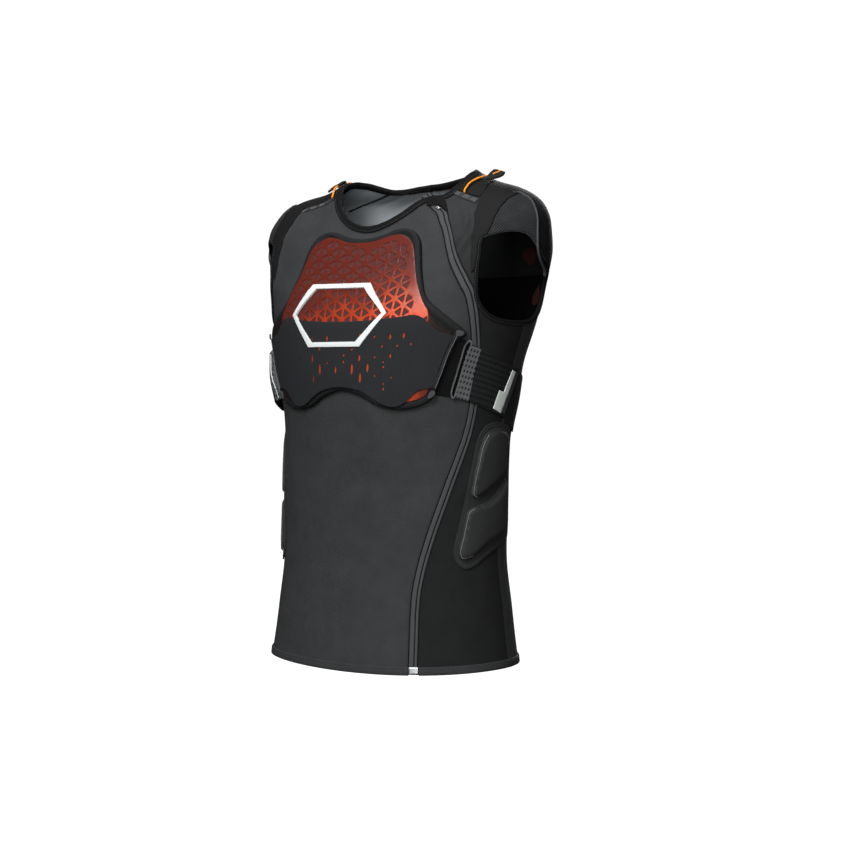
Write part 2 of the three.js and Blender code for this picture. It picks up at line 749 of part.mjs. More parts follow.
// The armhole's edge on one side of a side seam, from its lower crossing to its upper one
function armholeEdge(around, front) {
  const part = split(armhole, 0, around)[front ? 'below' : 'above'][0]
  const onSeam = part.map((p) => Math.abs(p[0] - around) < 1e-9)
  const start = part.findIndex((p, k) => onSeam[k] && !onSeam[(k + 1) % part.length])
  const turned = [...part.slice(start), ...part.slice(0, start)]
  return turned[0][1] < turned[turned.length - 1][1] ? turned : turned.reverse()
}
const frontEdge = armholeEdge(90 - seam, true)
const backEdge = armholeEdge(90 + seam, false)
const closing = (around, edge) => [[around, 0], ...edge, [around, 1]]
const sideOutline = [...zipRight, ...closing(90 - seam, frontEdge).reverse()]
const frontOutline = [...onSide(closing(90 - seam, frontEdge), -1), ...[...zipLeft].reverse()]
const backFar = onSide(closing(90 + seam, backEdge), -1).map(([a, r]) => [a + 360, r])
const backOutline = [...closing(90 + seam, backEdge), ...backFar.reverse()]
add('front_panel', wrapped(frontOutline, -fabric, 0), charcoal)
add('side_front_panel', wrapped(sideOutline, -fabric, 0), charcoal)
add('back_panel', wrapped(backOutline, -fabric, 0), charcoal)

// Zip in its slot, its lower box, slider and garage
const zipInside = strip(zipPath, zipHalf, zipHalf - zipInnerWidth)
const zipOutside = strip(zipPath, -zipHalf + zipOuterWidth, -zipHalf)
add('zip_strip_inner', wrapped(zipInside, -fabric, 0), zipGrey)
add('zip_strip_outer', wrapped(zipOutside, -fabric, 0), zipGrey)
add('zip_slider', wrapped(sliderRows, first, first + sliderThick), silver)
add('zip_garage', wrapped(garageRows, first, first + garageThick), black)
add('zip_box', wrapped(zipBoxRows, first, first + sliderThick), silver)

// Bindings
const ringBand = (from, to) => [[-180, from], [180, from], [180, to], [-180, to]]
const neckLow = rises[rises.length - 2]
add('neck_binding', wrapped(ringBand(neckLow, 1), first, first + bindingThick), black)
const boxArounds = zipBoxRows.map((p) => p[0])
const hemStart = Math.max(...boxArounds) + clearance / 2
const hemEnd = Math.min(...boxArounds) - clearance / 2 + 360
const hemOutline = [[hemStart, 0], [hemEnd, 0], [hemEnd, rises[1]], [hemStart, rises[1]]]
add('hem_band', wrapped(hemOutline, first, first + bindingThick), charcoal)

// Guard on the chest: soft base, pierced plate, cover with slots and a plain emblem
const guard = rounded(bothHalves(guardHalf), 1)
const plate = rounded(bothHalves(plateHalf), 1)
const cover = rounded(bothHalves(coverHalf), 1)
add('guard_base', wrapped(guard, first, first + guardPadThick), rubberBlack)

function inside(polygon, [x, y]) {
  let odd = false
  polygon.forEach((p, k) => {
    const q = polygon[(k + 1) % polygon.length]
    if ((p[1] > y) === (q[1] > y)) return
    if (x < p[0] + ((y - p[1]) / (q[1] - p[1])) * (q[0] - p[0])) odd = !odd
  })
  return odd
}

const latticeField = bothHalves(latticeHalf)
const holes = []
for (let column = -9; column < 9; column++) {
  for (let row = -1; row < 10; row++) {
    const near = column * latticeColumn
    const far = near + latticeColumn
    const shift = Math.abs(column % 2) * 0.5
    const level = (n) => riseAbove(latticeStart, n * latticePitch)
    const nearNodes = [[near, level(row + shift)], [near, level(row + shift + 1)]]
    const farShift = shift === 0 ? 0.5 : 0
    const farRow = shift === 0 ? row : row + 1
    const farNodes = [[far, level(farRow + farShift)], [far, level(farRow + farShift + 1)]]
    holes.push([nearNodes[0], farNodes[0], nearNodes[1]])
    holes.push([farNodes[0], farNodes[1], nearNodes[1]])
  }
}
const keptHoles = []
for (const hole of holes) {
  const middle = [0, 1].map((k) => (hole[0][k] + hole[1][k] + hole[2][k]) / 3)
  const turn = THREE.MathUtils.degToRad(latticeHoleTurn)
  const shrunk = hole.map(([around, rise]) => {
    const x = (around - middle[0]) * latticeHoleShare
    const y = (rise - middle[1]) * latticeHoleShare * 400 / 2
    return [
      middle[0] + x * Math.cos(turn) - y * Math.sin(turn),
      middle[1] + (x * Math.sin(turn) + y * Math.cos(turn)) * 2 / 400,
    ]
  })
  if (!shrunk.every((p) => inside(latticeField, p))) continue
  keptHoles.push(shrunk)
}
add('guard_plate', pierced(plate, keptHoles, plateLow, plateTop), redPlastic)
add('guard_plate_lower', wrapped(bothHalves(plateLowerHalf), plateLow, plateTop), redPlastic)

const slots = slotRows.map(([around, rise, share]) => {
  const [perDegree, perRise] = scaleAt(around, rise)
  const half = (share * slotLongest) / 2 / perRise
  const wide = (slotWidth * (0.5 + share / 2)) / 2 / perDegree
  return pierced([
    [around, rise + half], [around - wide, rise], [around - wide * 0.6, rise - half],
    [around + wide * 0.6, rise - half], [around + wide, rise],
  ], [], coverLow - 2, coverTop + 2)
})
add('guard_cover', cut(wrapped(cover, coverLow, coverTop), ...slots), coverGrey)

const [emblemDegree, emblemRise] = scaleAt(emblemCentre[0], emblemCentre[1])
function badge(inset) {
  const wide = emblemHalfWidth - inset * 1.1
  const high = emblemHalfHeight - inset
  const flat = wide - emblemPoint
  const corners = [[-wide, 0], [-flat, -high], [flat, -high], [wide, 0], [flat, high], [-flat, high]]
  return corners.map(([x, y]) => [
    emblemCentre[0] + x / emblemDegree,
    emblemCentre[1] + y / emblemRise,
  ])
}
const badgeHole = pierced(badge(emblemStroke), [], -20, emblemTop + 20)
const upperBadge = split(badge(0), 1, emblemSplit + clearance / 600).above[0]
const lowerBadge = split(badge(0), 1, emblemSplit - clearance / 600).below[0]
add('emblem_upper', cut(wrapped(upperBadge, plateTop + clearance, emblemTop), badgeHole), white)
add('emblem_lower', cut(wrapped(lowerBadge, coverTop + clearance, emblemTop), badgeHole), white)

// The lining inside the back
add('back_lining', wrapped(liningRows, -fabric - clearance - liningThick, -fabric - clearance),
  liningGrey)

// Everything that comes in a left and a right copy
const sideNames = { 1: 'left', '-1': 'right' }
const bindingPath = armhole.slice(0, 16)
const bandCap = offsetPath(capOuterRows, 2 * clearance).reverse()
const bandClear = offsetPath(armholeRows.slice(0, 4), -bindingWidth - clearance)
const bandOutline = [...bandRows, ...bandInnerRows, ...bandCap, ...bandClear]
const elasticOutline = [
  ...offsetPath(elasticGuardRows, clearance),
  ...offsetPath(foldRows, clearance),
]
const webbingOutline = [...foldRows, ...webbingRows]
const loopInner = offsetPath(loopRows, signedArea(loopRows) > 0 ? loopBar : -loopBar, true)
const pipingPath = coverHalf.slice(9, 14)
for (const side of [1, -1]) {
  const named = (name) => `${name}_${sideNames[side]}`
  const sheet = (rows, low, high) => wrapped(onSide(rows, side), low, high)
  const binding = [...bindingPath, ...offsetPath(bindingPath, -bindingWidth).reverse()]
  add(named('armhole_binding'), sheet(binding, first, first + bindingThick), black)
  add(named('shoulder_band'), sheet(bandOutline, first, first + bandThick), black)
  add(named('sleeve_cap'), sheet([...capOuterRows, ...capLowerRows], first, first + capThick), capGrey)
  add(named('shoulder_yoke'), sheet(rounded(yokeRows, 1), first, yokeTop), black)
  add(named('tack_band'), sheet(tackRows, first, first + stripThick), charcoal)

  add(named('strap_elastic'), sheet(elasticOutline, first, first + elasticThick), black)
  add(named('strap_loop'), pierced(onSide(loopRows, side), [onSide(loopInner, side)],
    tabLow, tabLow + loopThick), rubberBlack)
  add(named('strap_webbing'), sheet(webbingOutline, first, first + strapThick), webbingGrey)
  add(named('strap_tab'), sheet(tabRows, tabLow, tabLow + tabThick), tabGrey)
  add(named('strap_end'), sheet(strapEndRows, tabLow, tabLow + tabThick), charcoal)
  add(named('back_strap'), sheet(backStrapRows, first, first + elasticThick), webbingGrey)
  add(named('cover_piping'), sheet(strip(pipingPath, clearance, clearance + pipingWidth),
    plateLow, plateLow + pipingThick), zipGrey)
  add(named('corner_tab_top'), sheet(cornerTopRows, plateLow, plateLow + tabThick), zipGrey)
  add(named('corner_tab_low'), sheet(cornerLowRows, plateLow, plateLow + tabThick), zipGrey)

  add(named('pad_base'), sheet(rounded(padBaseRows, 1), first, first + padBaseThick), padBlack)
  const padLow = first + padBaseThick + clearance
  const padEdge = padLow + padEdgeThick
  const padHigh = padLow + padThick
  const below = sheet(padBaseRows, padLow - 6, padLow)
  const pad = (rows) => cut(domed(onSide(rows, side), padLow - 3, padEdge, padHigh), below)
  add(named('pad_upper'), pad(padUpperRows), rubberBlack)
  add(named('pad_lower'), pad(padLowerRows), rubberBlack)

  add(named('shoulder_cord'), cordAlong(onSide(cordRows, side), cordBed), orangeCord)
  add(named('cord_lock'), sheet(lockRows, yokeTop + clearance, yokeTop + clearance + lockThick),
    rubberBlack)
}

export default vest
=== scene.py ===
"""Finished protective vest around its fixed frame of solids: cloth, foam, moulded plates, zip,
straps, cords and stitching, with a plain studio.

Every piece is cut flat on a chart of the torso and then wrapped on it. A place on the chart is
around, in degrees from the front centre towards the wearer's left, and rise, the share of the
way from the hem (0) to the neck edge (1). Heights above the torso surface are in millimetres.
"""

import math
from types import SimpleNamespace

import bmesh
import bpy
import numpy as np
from mathutils import Matrix, Vector


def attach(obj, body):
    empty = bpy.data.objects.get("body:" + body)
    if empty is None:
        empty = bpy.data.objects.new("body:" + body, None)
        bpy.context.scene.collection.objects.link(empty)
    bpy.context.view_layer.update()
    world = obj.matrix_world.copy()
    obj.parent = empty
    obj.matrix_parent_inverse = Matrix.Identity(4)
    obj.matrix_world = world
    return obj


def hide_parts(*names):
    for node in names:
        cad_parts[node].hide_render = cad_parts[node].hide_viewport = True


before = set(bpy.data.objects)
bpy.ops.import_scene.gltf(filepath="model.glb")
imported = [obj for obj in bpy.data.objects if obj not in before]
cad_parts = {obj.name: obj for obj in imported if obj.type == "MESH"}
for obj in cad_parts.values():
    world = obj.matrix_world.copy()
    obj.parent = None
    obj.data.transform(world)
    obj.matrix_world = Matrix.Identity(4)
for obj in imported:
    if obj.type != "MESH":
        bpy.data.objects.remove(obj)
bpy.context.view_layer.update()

bl_info = {
    "name": "Protective Vest",
    "version": (1, 0, 0),
    "blender": (4, 5, 0),
    "location": "View3D > Sidebar > Vest",
    "description": "Builds a finished protective vest around its frame, with a studio stage",
    "category": "Object",
}

MM = 0.001


def linear(code):
    """A colour given as sRGB hex, turned to linear red, green and blue."""
    parts = [int(code[k : k + 2], 16) / 255 for k in (0, 2, 4)]
    return tuple(c / 12.92 if c <= 0.04045 else ((c + 0.055) / 1.055) ** 2.4 for c in parts)


# Sizes and colours a user would change


def length_property(name, description, millimetres):
    return bpy.props.FloatProperty(
        name=name,
        description=description,
        unit="LENGTH",
        min=0,
        precision=5,
        default=millimetres * MM,
    )


def colour_property(name, description, code):
    return bpy.props.FloatVectorProperty(
        name=name,
        description=description,
        subtype="COLOR",
        size=3,
        min=0,
        max=1,
        default=linear(code),
    )


class VestSizes(bpy.types.PropertyGroup):
    """Sizes of the vest's layers and trims"""

    body_height: length_property("Body height", "Hem to shoulder line", 645)
    shoulder_half_width: length_property("Shoulder half width", "Middle plane to side", 223)
    front_reach: length_property("Front reach", "Origin to the hem's front", 163)
    back_reach: length_property("Back reach", "Origin to the widest back", 102)
    fabric: length_property("Fabric", "Thickness of the body panels", 2)
    clearance: length_property("Clearance", "Gap between stacked layers", 0.4)
    guard_pad: length_property("Guard pad", "Foam under the chest plate", 4)
    guard_plate: length_property("Guard plate", "Thickness of the chest plate", 3)
    guard_cover: length_property("Guard cover", "Thickness of the chest cover", 1.5)
    lining: length_property("Lining", "Thickness of the back lining", 0.8)
    band: length_property("Band", "Thickness of the shoulder bands and elastics", 1.6)
    cap: length_property("Cap", "Thickness of the shoulder caps", 0.9)
    tack_band: length_property("Tack band", "Thickness of the tacked strips", 1.2)
    webbing: length_property("Webbing", "Thickness of the side webbing", 2.6)
    tab: length_property("Tab", "Thickness of the strap tabs", 0.8)
    pad_base: length_property("Pad base", "Thickness of the cloth under the pads", 2)
    pad_left: length_property("Left pads", "Rise of the pads on the wearer's left", 4.6)
    pad_right: length_property("Right pads", "Rise of the pads on the wearer's right", 1.4)
    cord_lock: length_property("Cord lock", "Thickness of the cord locks", 3.2)
    zip_slot: length_property("Zip slot", "Width of the opening for the zip", 7.2)
    cord_radius: length_property("Cord radius", "Radius of the shoulder cords", 1.3)
    stitch_pitch: length_property("Stitch pitch", "From one stitch to the next", 3.6)
    stitch_length: length_property("Stitch length", "Length of one stitch", 2.5)
    stitch_radius: length_property("Stitch radius", "Radius of the sewing thread", 0.34)


class VestColours(bpy.types.PropertyGroup):
    """Colours of the vest's materials"""

    knit: colour_property("Body knit", "Stretch knit of the body panels", "363738")
    # The side knit's darkness down the flanks is painted shade, set in its material
    side_knit: colour_property("Side knit", "Darker knit of the flanks", "333435")
    black: colour_property("Black trim", "Bindings and shoulder bands", "0b0b0c")
    cap: colour_property("Cap knit", "Mottled knit of the shoulder caps", "2b2c2e")
    lining: colour_property("Lining", "Soft knit inside the back", "9a9fa3")
    # Painted shade: the near-black the lining passes into below the neck, inside where the light
    # doesn't reach
    lining_painted_shade: colour_property("Lower lining", "Black mesh below the lining", "161718")
    foam: colour_property("Guard foam", "Covered foam under the plate", "141516")
    # Partly painted shade: the dark red colour of the lattice's holes
    recess: colour_property("Recess", "Foam seen through the lattice", "4a1813")
    plate: colour_property("Chest plate", "Moulded plate of the chest guard", "d8460a")
    # Painted shade: the deep red the plate passes into at its top, where less light falls
    plate_painted_shade: colour_property("Chest plate top", "Upper part of the chest plate", "5e1b0d")
    cover: colour_property("Chest cover", "Textile over the lower guard", "27282a")
    badge: colour_property("Badge", "Plain raised badge", "dfe3e3")
    zip_tape: colour_property("Zip tape", "Woven tape of the zip", "46484a")
    webbing: colour_property("Webbing", "Side webbing", "212223")
    # Painted light: the paler tone of the webbing's rolled hem
    webbing_hem_painted_light: colour_property("Webbing hem", "Folded end of the webbing", "5c5e5f")
    loop: colour_property("Strap loop", "Twisted cord at the webbing's end", "505353")
    # Painted highlight: the pale tone of the pads' welded edges
    weld: colour_property("Welded edge", "Edge lines of the side pads", "74777a")
    mesh_patch: colour_property("Inner pad", "Padding seen through the lining", "3c1d18")
    tab: colour_property("Tab", "Bare tab on the webbing", "d2d8d4")
    pad: colour_property("Side pad", "Moulded side pads", "1e1f20")
    cord: colour_property("Cord", "Braided shoulder cord", "ff9a1f")
    metal: colour_property("Zip metal", "Slider and box of the zip", "9da1a3")
    # Painted shade: the near-black of the panels' inside, where the light doesn't reach
    inner: colour_property("Inner mesh", "Inside of the body panels", "060606")
    plate_low: colour_property("Lower plate", "Plate seen in the slots of the cover", "ac401d")
    # Painted shade: the dark the lower plate passes into at its outer ends
    wing_painted_shade: colour_property("Wing shade", "Outer ends of the lower plate", "1a0f0c")
    piping: colour_property("Piping", "Edge of the chest cover", "2b2d2f")
    pale_thread: colour_property("Pale thread", "Bar tacks and edge lines", "6a6d6e")
    thread: colour_property("Thread", "Sewing thread", "3c3e40")


def sizes():
    """The named sizes in millimetres, rounded because they are kept in single precision."""
    group = bpy.context.scene.vest_sizes
    names = VestSizes.__annotations__
    return SimpleNamespace(**{name: round(getattr(group, name) / MM, 4) for name in names})


def colours():
    return bpy.context.scene.vest_colours


def run_length(points):
    """The length from the first point to each point."""
    steps = np.linalg.norm(np.diff(points, axis=0), axis=1)
    return np.concatenate([[0], np.cumsum(steps)])


# The torso surface

# Rows from hem to neck: side and its rise, front and its rise, back and its rise, as shares of
# the named sizes, then where the widest line sits between front (0) and back (1)
SECTIONS = (
    (0.825, -0.9550, 1.000, -0.9612, 0.755, -0.9550, 0.504),
    (0.780, -0.8403, 0.939, -0.8450, 0.696, -0.8403, 0.500),
    (0.744, -0.7287, 0.908, -0.7318, 0.657, -0.7287, 0.498),
    (0.740, -0.5907, 0.902, -0.5907, 0.657, -0.5907, 0.500),
    (0.749, -0.4868, 0.914, -0.4868, 0.735, -0.4868, 0.504),
    (0.798, -0.3628, 0.939, -0.3659, 0.882, -0.3628, 0.523),
    (0.861, -0.2791, 0.926, -0.2853, 0.980, -0.2791, 0.518),
    (0.924, -0.2016, 0.859, -0.2171, 1.000, -0.1969, 0.500),
    (0.973, -0.1550, 0.779, -0.1783, 0.971, -0.1519, 0.482),
    (1.000, -0.1116, 0.724, -0.1473, 0.912, -0.1085, 0.479),
    (0.987, -0.0651, 0.687, -0.1240, 0.843, -0.0667, 0.495),
    (0.919, -0.0233, 0.650, -0.1054, 0.775, -0.0279, 0.535),
    (0.789, 0.0016, 0.620, -0.0915, 0.696, 0.0000, 0.576),
    (0.587, 0.0202, 0.595, -0.0791, 0.578, 0.0186, 0.622),
    (0.439, 0.0450, 0.583, -0.0698, 0.471, 0.0279, 0.664),
)
HEM_DIP, HEM_DIP_AROUND = 6, 38
NECK_TILT = 4
# How far the neck edge rises or dips as worn: around in degrees, millimetres
NECK_WAVE = (
    (-180, 1.5), (-169, 0.5), (-157, -3), (-145, -4.5), (-130, -1.5), (-116, 1), (-103, 1),
    (-85, -1.5), (-60, 0), (60, 0), (90, 0.5), (123, 0), (140, 1), (154, 2), (180, 1.5),
)

# Soft folds of the cloth: around, rise, half length and half width in mm, turn in degrees from
# level, and height in mm
FOLDS = (
    (42.2, 0.822, 22, 4.6, 60, 3.6),
    (42.0, 0.784, 18, 4.2, 61, 3.2),
    (45.3, 0.846, 18, 4.2, 66, 2.8),
    (39.4, 0.835, 15, 3.6, 80, 1.8),
    (-51.5, 0.755, 42, 16.0, 90, 7.0),
    (-90, 0.775, 40, 24.0, 90, -4.0),
    (36, 0.735, 34, 7.0, 25, 0.6),
    (-32, 0.900, 26, 5.0, -52, 0.6),
    (-41, 0.850, 30, 7.0, -60, 0.7),
    (16.5, 0.380, 56, 15.0, 84, 3.2),
    (36, 0.330, 56, 13.0, 78, -2.6),
    (-60, 0.517, 30, 22.0, 90, 7.0),
    (-20, 0.395, 55, 18.0, -8, 0.9),
    (6, 0.330, 70, 20.0, 4, -0.8),
    (30, 0.270, 46, 14.0, 58, 0.7),
    (-30, 0.250, 50, 16.0, -50, 0.6),
    (8, 0.160, 70, 20.0, 18, 0.7),
    (72, 0.110, 40, 10.0, 70, 0.7),
    (66, 0.330, 40, 7.0, 68, 1.6),
    (150, 0.470, 60, 16.0, -20, 0.9),
    (200, 0.430, 66, 18.0, 16, 0.9),
    (172, 0.330, 70, 20.0, 2, 0.8),
    (165, 0.900, 40, 9.0, 30, 1.4),
    (196, 0.885, 40, 9.0, -34, 1.6),
    (178, 0.915, 26, 5.0, 62, 1.2),
    (206, 0.930, 24, 5.0, -58, 1.2),
    (120, 0.640, 40, 40.0, 90, 4.5),
    (118, 0.470, 40, 40.0, 90, 4.0),
    (114, 0.330, 60, 40.0, 90, 2.2),
    (14, 0.460, 30, 12.0, 40, 1.6),
    (-6, 0.130, 40, 13.0, 70, 1.6),
)

# Rise of the neck edge, which falls open beside the zip
NECK_EDGE = (
    (-180, 1.0), (36, 1.0), (43.5, 0.992), (48, 0.976), (51.5, 0.9655), (55, 0.9655),
    (58.5, 0.9675), (68.8, 0.9755), (74.3, 0.980), (82.2, 0.9855), (96, 0.994), (108, 1.0),
    (180, 1.0),
)

# The elastic along the cap's back edge
SLIT_ROWS = (
    (76.5, 0.8755), (80.5, 0.8715), (82.9, 0.8572), (83.6, 0.8402), (83.2, 0.8232),
    (82.4, 0.7948), (81.9, 0.7708), (82.6, 0.7500), (86.4, 0.7330), (91.4, 0.7210),
    (96.2, 0.7110), (98.0, 0.7030),
)

# The seam tape inside the back, and the two red pads seen through the lining's mesh
LINING_SEAM_ROWS = (
    (-132.5, 0.862), (-134.8, 0.875), (-137.5, 0.900), (-139.3, 0.932), (-141.2, 0.962),
    (-143.2, 0.984), (-149, 0.995), (-165, 0.990), (-180, 0.987),
)
LINING_PATCH_UPPER = (
    (133.8, 0.757), (131.9, 0.744), (132.5, 0.730), (135.6, 0.7255), (140, 0.7335),
    (141.9, 0.747), (139.4, 0.758),
)
LINING_PATCH_LOWER = (
    (122.5, 0.685), (120.6, 0.673), (120, 0.658), (122.4, 0.649), (127.8, 0.649), (129, 0.662),
    (126, 0.678),
)

# Outlines as rows of (around, rise), on the wearer's left or as half of a centred one

GUARD_HALF = (
    (0, 0.858), (9, 0.872), (16, 0.892), (20, 0.884), (22.6, 0.858), (23.8, 0.815),
    (25.4, 0.745), (29.3, 0.696), (33.8, 0.662), (42, 0.633), (51, 0.606), (54.5, 0.594),
    (50, 0.576), (46.8, 0.525), (44, 0.482), (41, 0.469), (34.5, 0.459), (26, 0.456),
    (18, 0.463), (10, 0.480), (0, 0.491),
)
PLATE_HALF = (
    (0, 0.829), (6, 0.833), (12, 0.849), (16, 0.851), (19, 0.832), (21.4, 0.800), (23.2, 0.750),
    (26, 0.709), (29.5, 0.678), (33, 0.651), (35.4, 0.636), (35.4, 0.6135), (19, 0.613),
    (0, 0.612),
)
PLATE_LOWER_HALF = (
    (0, 0.611), (19, 0.612), (35.6, 0.6125), (35.6, 0.6345), (42, 0.607), (47.5, 0.597),
    (46.9, 0.585), (44.5, 0.540), (42, 0.498), (40, 0.481), (35.5, 0.473), (30, 0.469),
    (24, 0.4702), (17, 0.479), (10, 0.493), (0, 0.502),
)
COVER_HALF = (
    (0, 0.6195), (10, 0.6205), (19, 0.6235), (26, 0.6275), (30.5, 0.6295), (34, 0.624),
    (37, 0.613), (40.5, 0.601), (45, 0.594), (48.2, 0.590), (47.6, 0.580), (46.3, 0.561),
    (44.6, 0.527), (42.4, 0.496), (39, 0.494), (35.5, 0.488), (32, 0.474), (28, 0.463),
    (24.5, 0.4615), (20.5, 0.466), (15.3, 0.479), (9.5, 0.491), (0, 0.4975),
)
ARMHOLE_ROWS = (
    (50.4, 0.786), (48.9, 0.770), (49.2, 0.745), (50.2, 0.718), (53, 0.686), (56, 0.658),
    (60, 0.639), (65, 0.626), (72, 0.6175), (82, 0.6145), (94, 0.6165), (103, 0.625),
    (109.5, 0.641), (112.5, 0.664), (111, 0.690), (106, 0.709), (98.5, 0.722), (90, 0.733),
    (84, 0.745), (79.5, 0.757), (75, 0.772), (69, 0.7825), (61, 0.788), (55, 0.7885),
)
BAND_ROWS = (
    (47.4, 0.712), (44.8, 0.745), (44.4, 0.796), (48.9, 0.854), (59.5, 0.898), (74, 0.926),
    (88, 0.940), (98, 0.925), (103, 0.890), (103.5, 0.840), (103, 0.790), (105, 0.755),
    (109, 0.728),
)
BAND_INNER_ROWS = ((106, 0.7115), (99, 0.7245), (91, 0.7355), (86.5, 0.7475))
CAP_OUTER_ROWS = (
    (51.6, 0.790), (53.6, 0.8055), (56.6, 0.824), (62, 0.8455), (69, 0.8595), (79, 0.8665),
    (83.2, 0.856), (84.2, 0.835), (82.6, 0.812), (82, 0.785), (81.5, 0.762),
)
CAP_LOWER_ROWS = ((79.8, 0.7595), (75.2, 0.7745), (69.1, 0.7850), (61, 0.7905), (55, 0.791))
ZIP_ROWS = (
    (34.3, 0), (34.7, 0.049), (35.2, 0.099), (36.6, 0.140), (39.9, 0.186), (45.2, 0.243),
    (52.8, 0.310), (59.7, 0.368), (64.2, 0.411), (66.2, 0.451), (65.5, 0.500), (62.6, 0.555),
    (59.3, 0.597), (56.0, 0.633), (51.0, 0.6727), (46.4, 0.6959), (41.2, 0.7248), (37.8, 0.7508),
    (36.0, 0.780), (35.1, 0.8149), (36.3, 0.8636), (40.4, 0.910), (43, 0.945), (46.5, 1),
)
GARAGE_ROWS = (
    (43.8, 0.990), (46.8, 0.984), (49.0, 0.975), (51.1, 0.9645), (49.3, 0.950), (45.5, 0.926),
    (41.2, 0.8956), (42.0, 0.9147), (43.1, 0.9352), (42.8, 0.949), (41.2, 0.957), (40.0, 0.963),
    (41.2, 0.978),
)
SLIDER_ROWS = ((40.6, 0.9265), (42.2, 0.9275), (42.8, 0.9400), (40.9, 0.9410))
ZIP_BOX_ROWS = ((32.2, 0.0005), (36.4, 0.0005), (36.5, 0.0125), (32.1, 0.0125))
PAD_BASE_ROWS = (
    (95, 0.428), (86, 0.4325), (80, 0.4315), (76, 0.427), (72.7, 0.417), (69.9, 0.401),
    (68, 0.371), (63.6, 0.310), (60.7, 0.270), (57.3, 0.230), (55.9, 0.202), (57.7, 0.184),
    (62.3, 0.174), (68.2, 0.178), (77, 0.194), (88, 0.209), (100, 0.218), (105, 0.235),
    (106, 0.290), (105.5, 0.350), (104, 0.400), (101, 0.421),
)
PAD_UPPER_ROWS = (
    (90, 0.421), (83.4, 0.4225), (75.4, 0.412), (71.9, 0.391), (69.5, 0.359), (67, 0.322),
    (66.6, 0.304), (69, 0.2985), (75, 0.304), (83.2, 0.317), (92, 0.335), (97, 0.352),
    (98, 0.385), (95.5, 0.412),
)
PAD_LOWER_ROWS = (
    (96, 0.331), (86, 0.306), (77, 0.291), (67.5, 0.2825), (64.3, 0.276), (62.7, 0.262),
    (60.4, 0.230), (58.6, 0.203), (60.4, 0.191), (67, 0.195), (78.5, 0.216), (92, 0.232),
    (98, 0.242), (99.5, 0.285), (99, 0.322),
)
ELASTIC_GUARD_ROWS = ((52.5, 0.586), (50, 0.576), (46.8, 0.525), (44, 0.482))
FOLD_ROWS = ((54.9, 0.4765), (56, 0.515), (57, 0.545), (58, 0.5735))
LOOP_ROWS = (
    (54.7, 0.574), (56.5, 0.582), (58.2, 0.575), (57.2, 0.545), (56.1, 0.515), (55.2, 0.481),
    (53.3, 0.4735), (51.6, 0.481), (52.7, 0.515), (53.8, 0.545),
)
WEBBING_ROWS = (
    (75, 0.549), (90, 0.532), (97.2, 0.5285), (95.6, 0.506), (93, 0.478), (89.8, 0.441),
    (78.3, 0.452), (66, 0.4655),
)
HEM_ROWS = (
    (53.4, 0.478), (54.6, 0.503), (55.5, 0.5232), (56.2, 0.550), (56.6, 0.5665), (57.8, 0.5720),
    (63.8, 0.5640), (63.4, 0.545), (62.6, 0.515), (61.9, 0.4702),
)
TAB_ROWS = (
    (88.3, 0.5265), (92, 0.5235), (88.8, 0.487), (85, 0.449), (78.2, 0.4575), (80.6, 0.490),
    (84.5, 0.487),
)
STRAP_END_ROWS = (
    (92.5, 0.5235), (96.2, 0.521), (92.8, 0.483), (89, 0.4475), (85.6, 0.4495), (89.3, 0.487),
)
BACK_STRAP_ROWS = (
    (97.9, 0.5275), (118, 0.5085), (138.5, 0.502), (138.5, 0.490), (140.2, 0.421), (112.5, 0.414),
    (90.2, 0.432), (93.6, 0.478), (96.2, 0.506),
)
CORNER_TOP_ROWS = ((49.4, 0.6005), (52.4, 0.598), (52.6, 0.5915), (49.9, 0.589), (49.3, 0.593))
CORNER_LOW_ROWS = ((41.5, 0.487), (43.2, 0.4905), (44.2, 0.4835), (41.2, 0.475))
LINING_ROWS = (
    (118, 0.985), (118, 0.900), (116, 0.820), (115, 0.765), (117, 0.7055), (243, 0.7055),
    (245, 0.765), (246, 0.820), (254, 0.880), (262, 0.920), (264, 0.985),
)
# Where the two shoulders differ, 1 is the wearer's left and -1 the right
TACK_ROWS = {
    1: (
        (54.3, 0.884), (58.3, 0.896), (59.3, 0.9337), (59.0, 0.962), (55.8, 0.9615),
        (54.5, 0.9197),
    ),
    -1: (
        (55.4, 0.9015), (59.6, 0.9035), (59.6, 0.945), (60, 0.983), (56, 0.983), (55.4, 0.945),
    ),
}
YOKE_EDGE = (
    (60.2, 0.9005), (74, 0.9277), (88, 0.9418), (98.5, 0.9272), (102.5, 0.944), (102, 0.968),
)
YOKE_ROWS = {
    1: (*YOKE_EDGE, (97, 0.980), (86, 0.974), (72, 0.9645), (60.4, 0.955), (60.2, 0.940)),
    -1: (*YOKE_EDGE, (97, 0.9845), (86, 0.985), (72, 0.985), (60.6, 0.985), (60.2, 0.945)),
}
LOCK_ROWS = {
    1: (
        (80.5, 0.9455), (84, 0.953), (88, 0.957), (91.5, 0.958), (93.5, 0.948), (95, 0.933),
        (91.5, 0.9295), (87.5, 0.9305), (83.5, 0.938),
    ),
    -1: (
        (74, 0.9605), (79, 0.9620), (84, 0.966), (90, 0.976), (93, 0.983), (90, 0.987),
        (85, 0.984), (80, 0.974), (76, 0.966),
    ),
}
STRIPE_ROWS = {
    1: ((86.4, 0.9465), (89.8, 0.944), (93.0, 0.941)),
    -1: ((78.4, 0.9645), (81.5, 0.968), (84.6, 0.9715)),
}
# Where the lock's free end starts to stand off, in degrees, and how far it does, in mm
LOCK_TILT = {1: (81.5, 10.0), -1: (76, 4.0)}
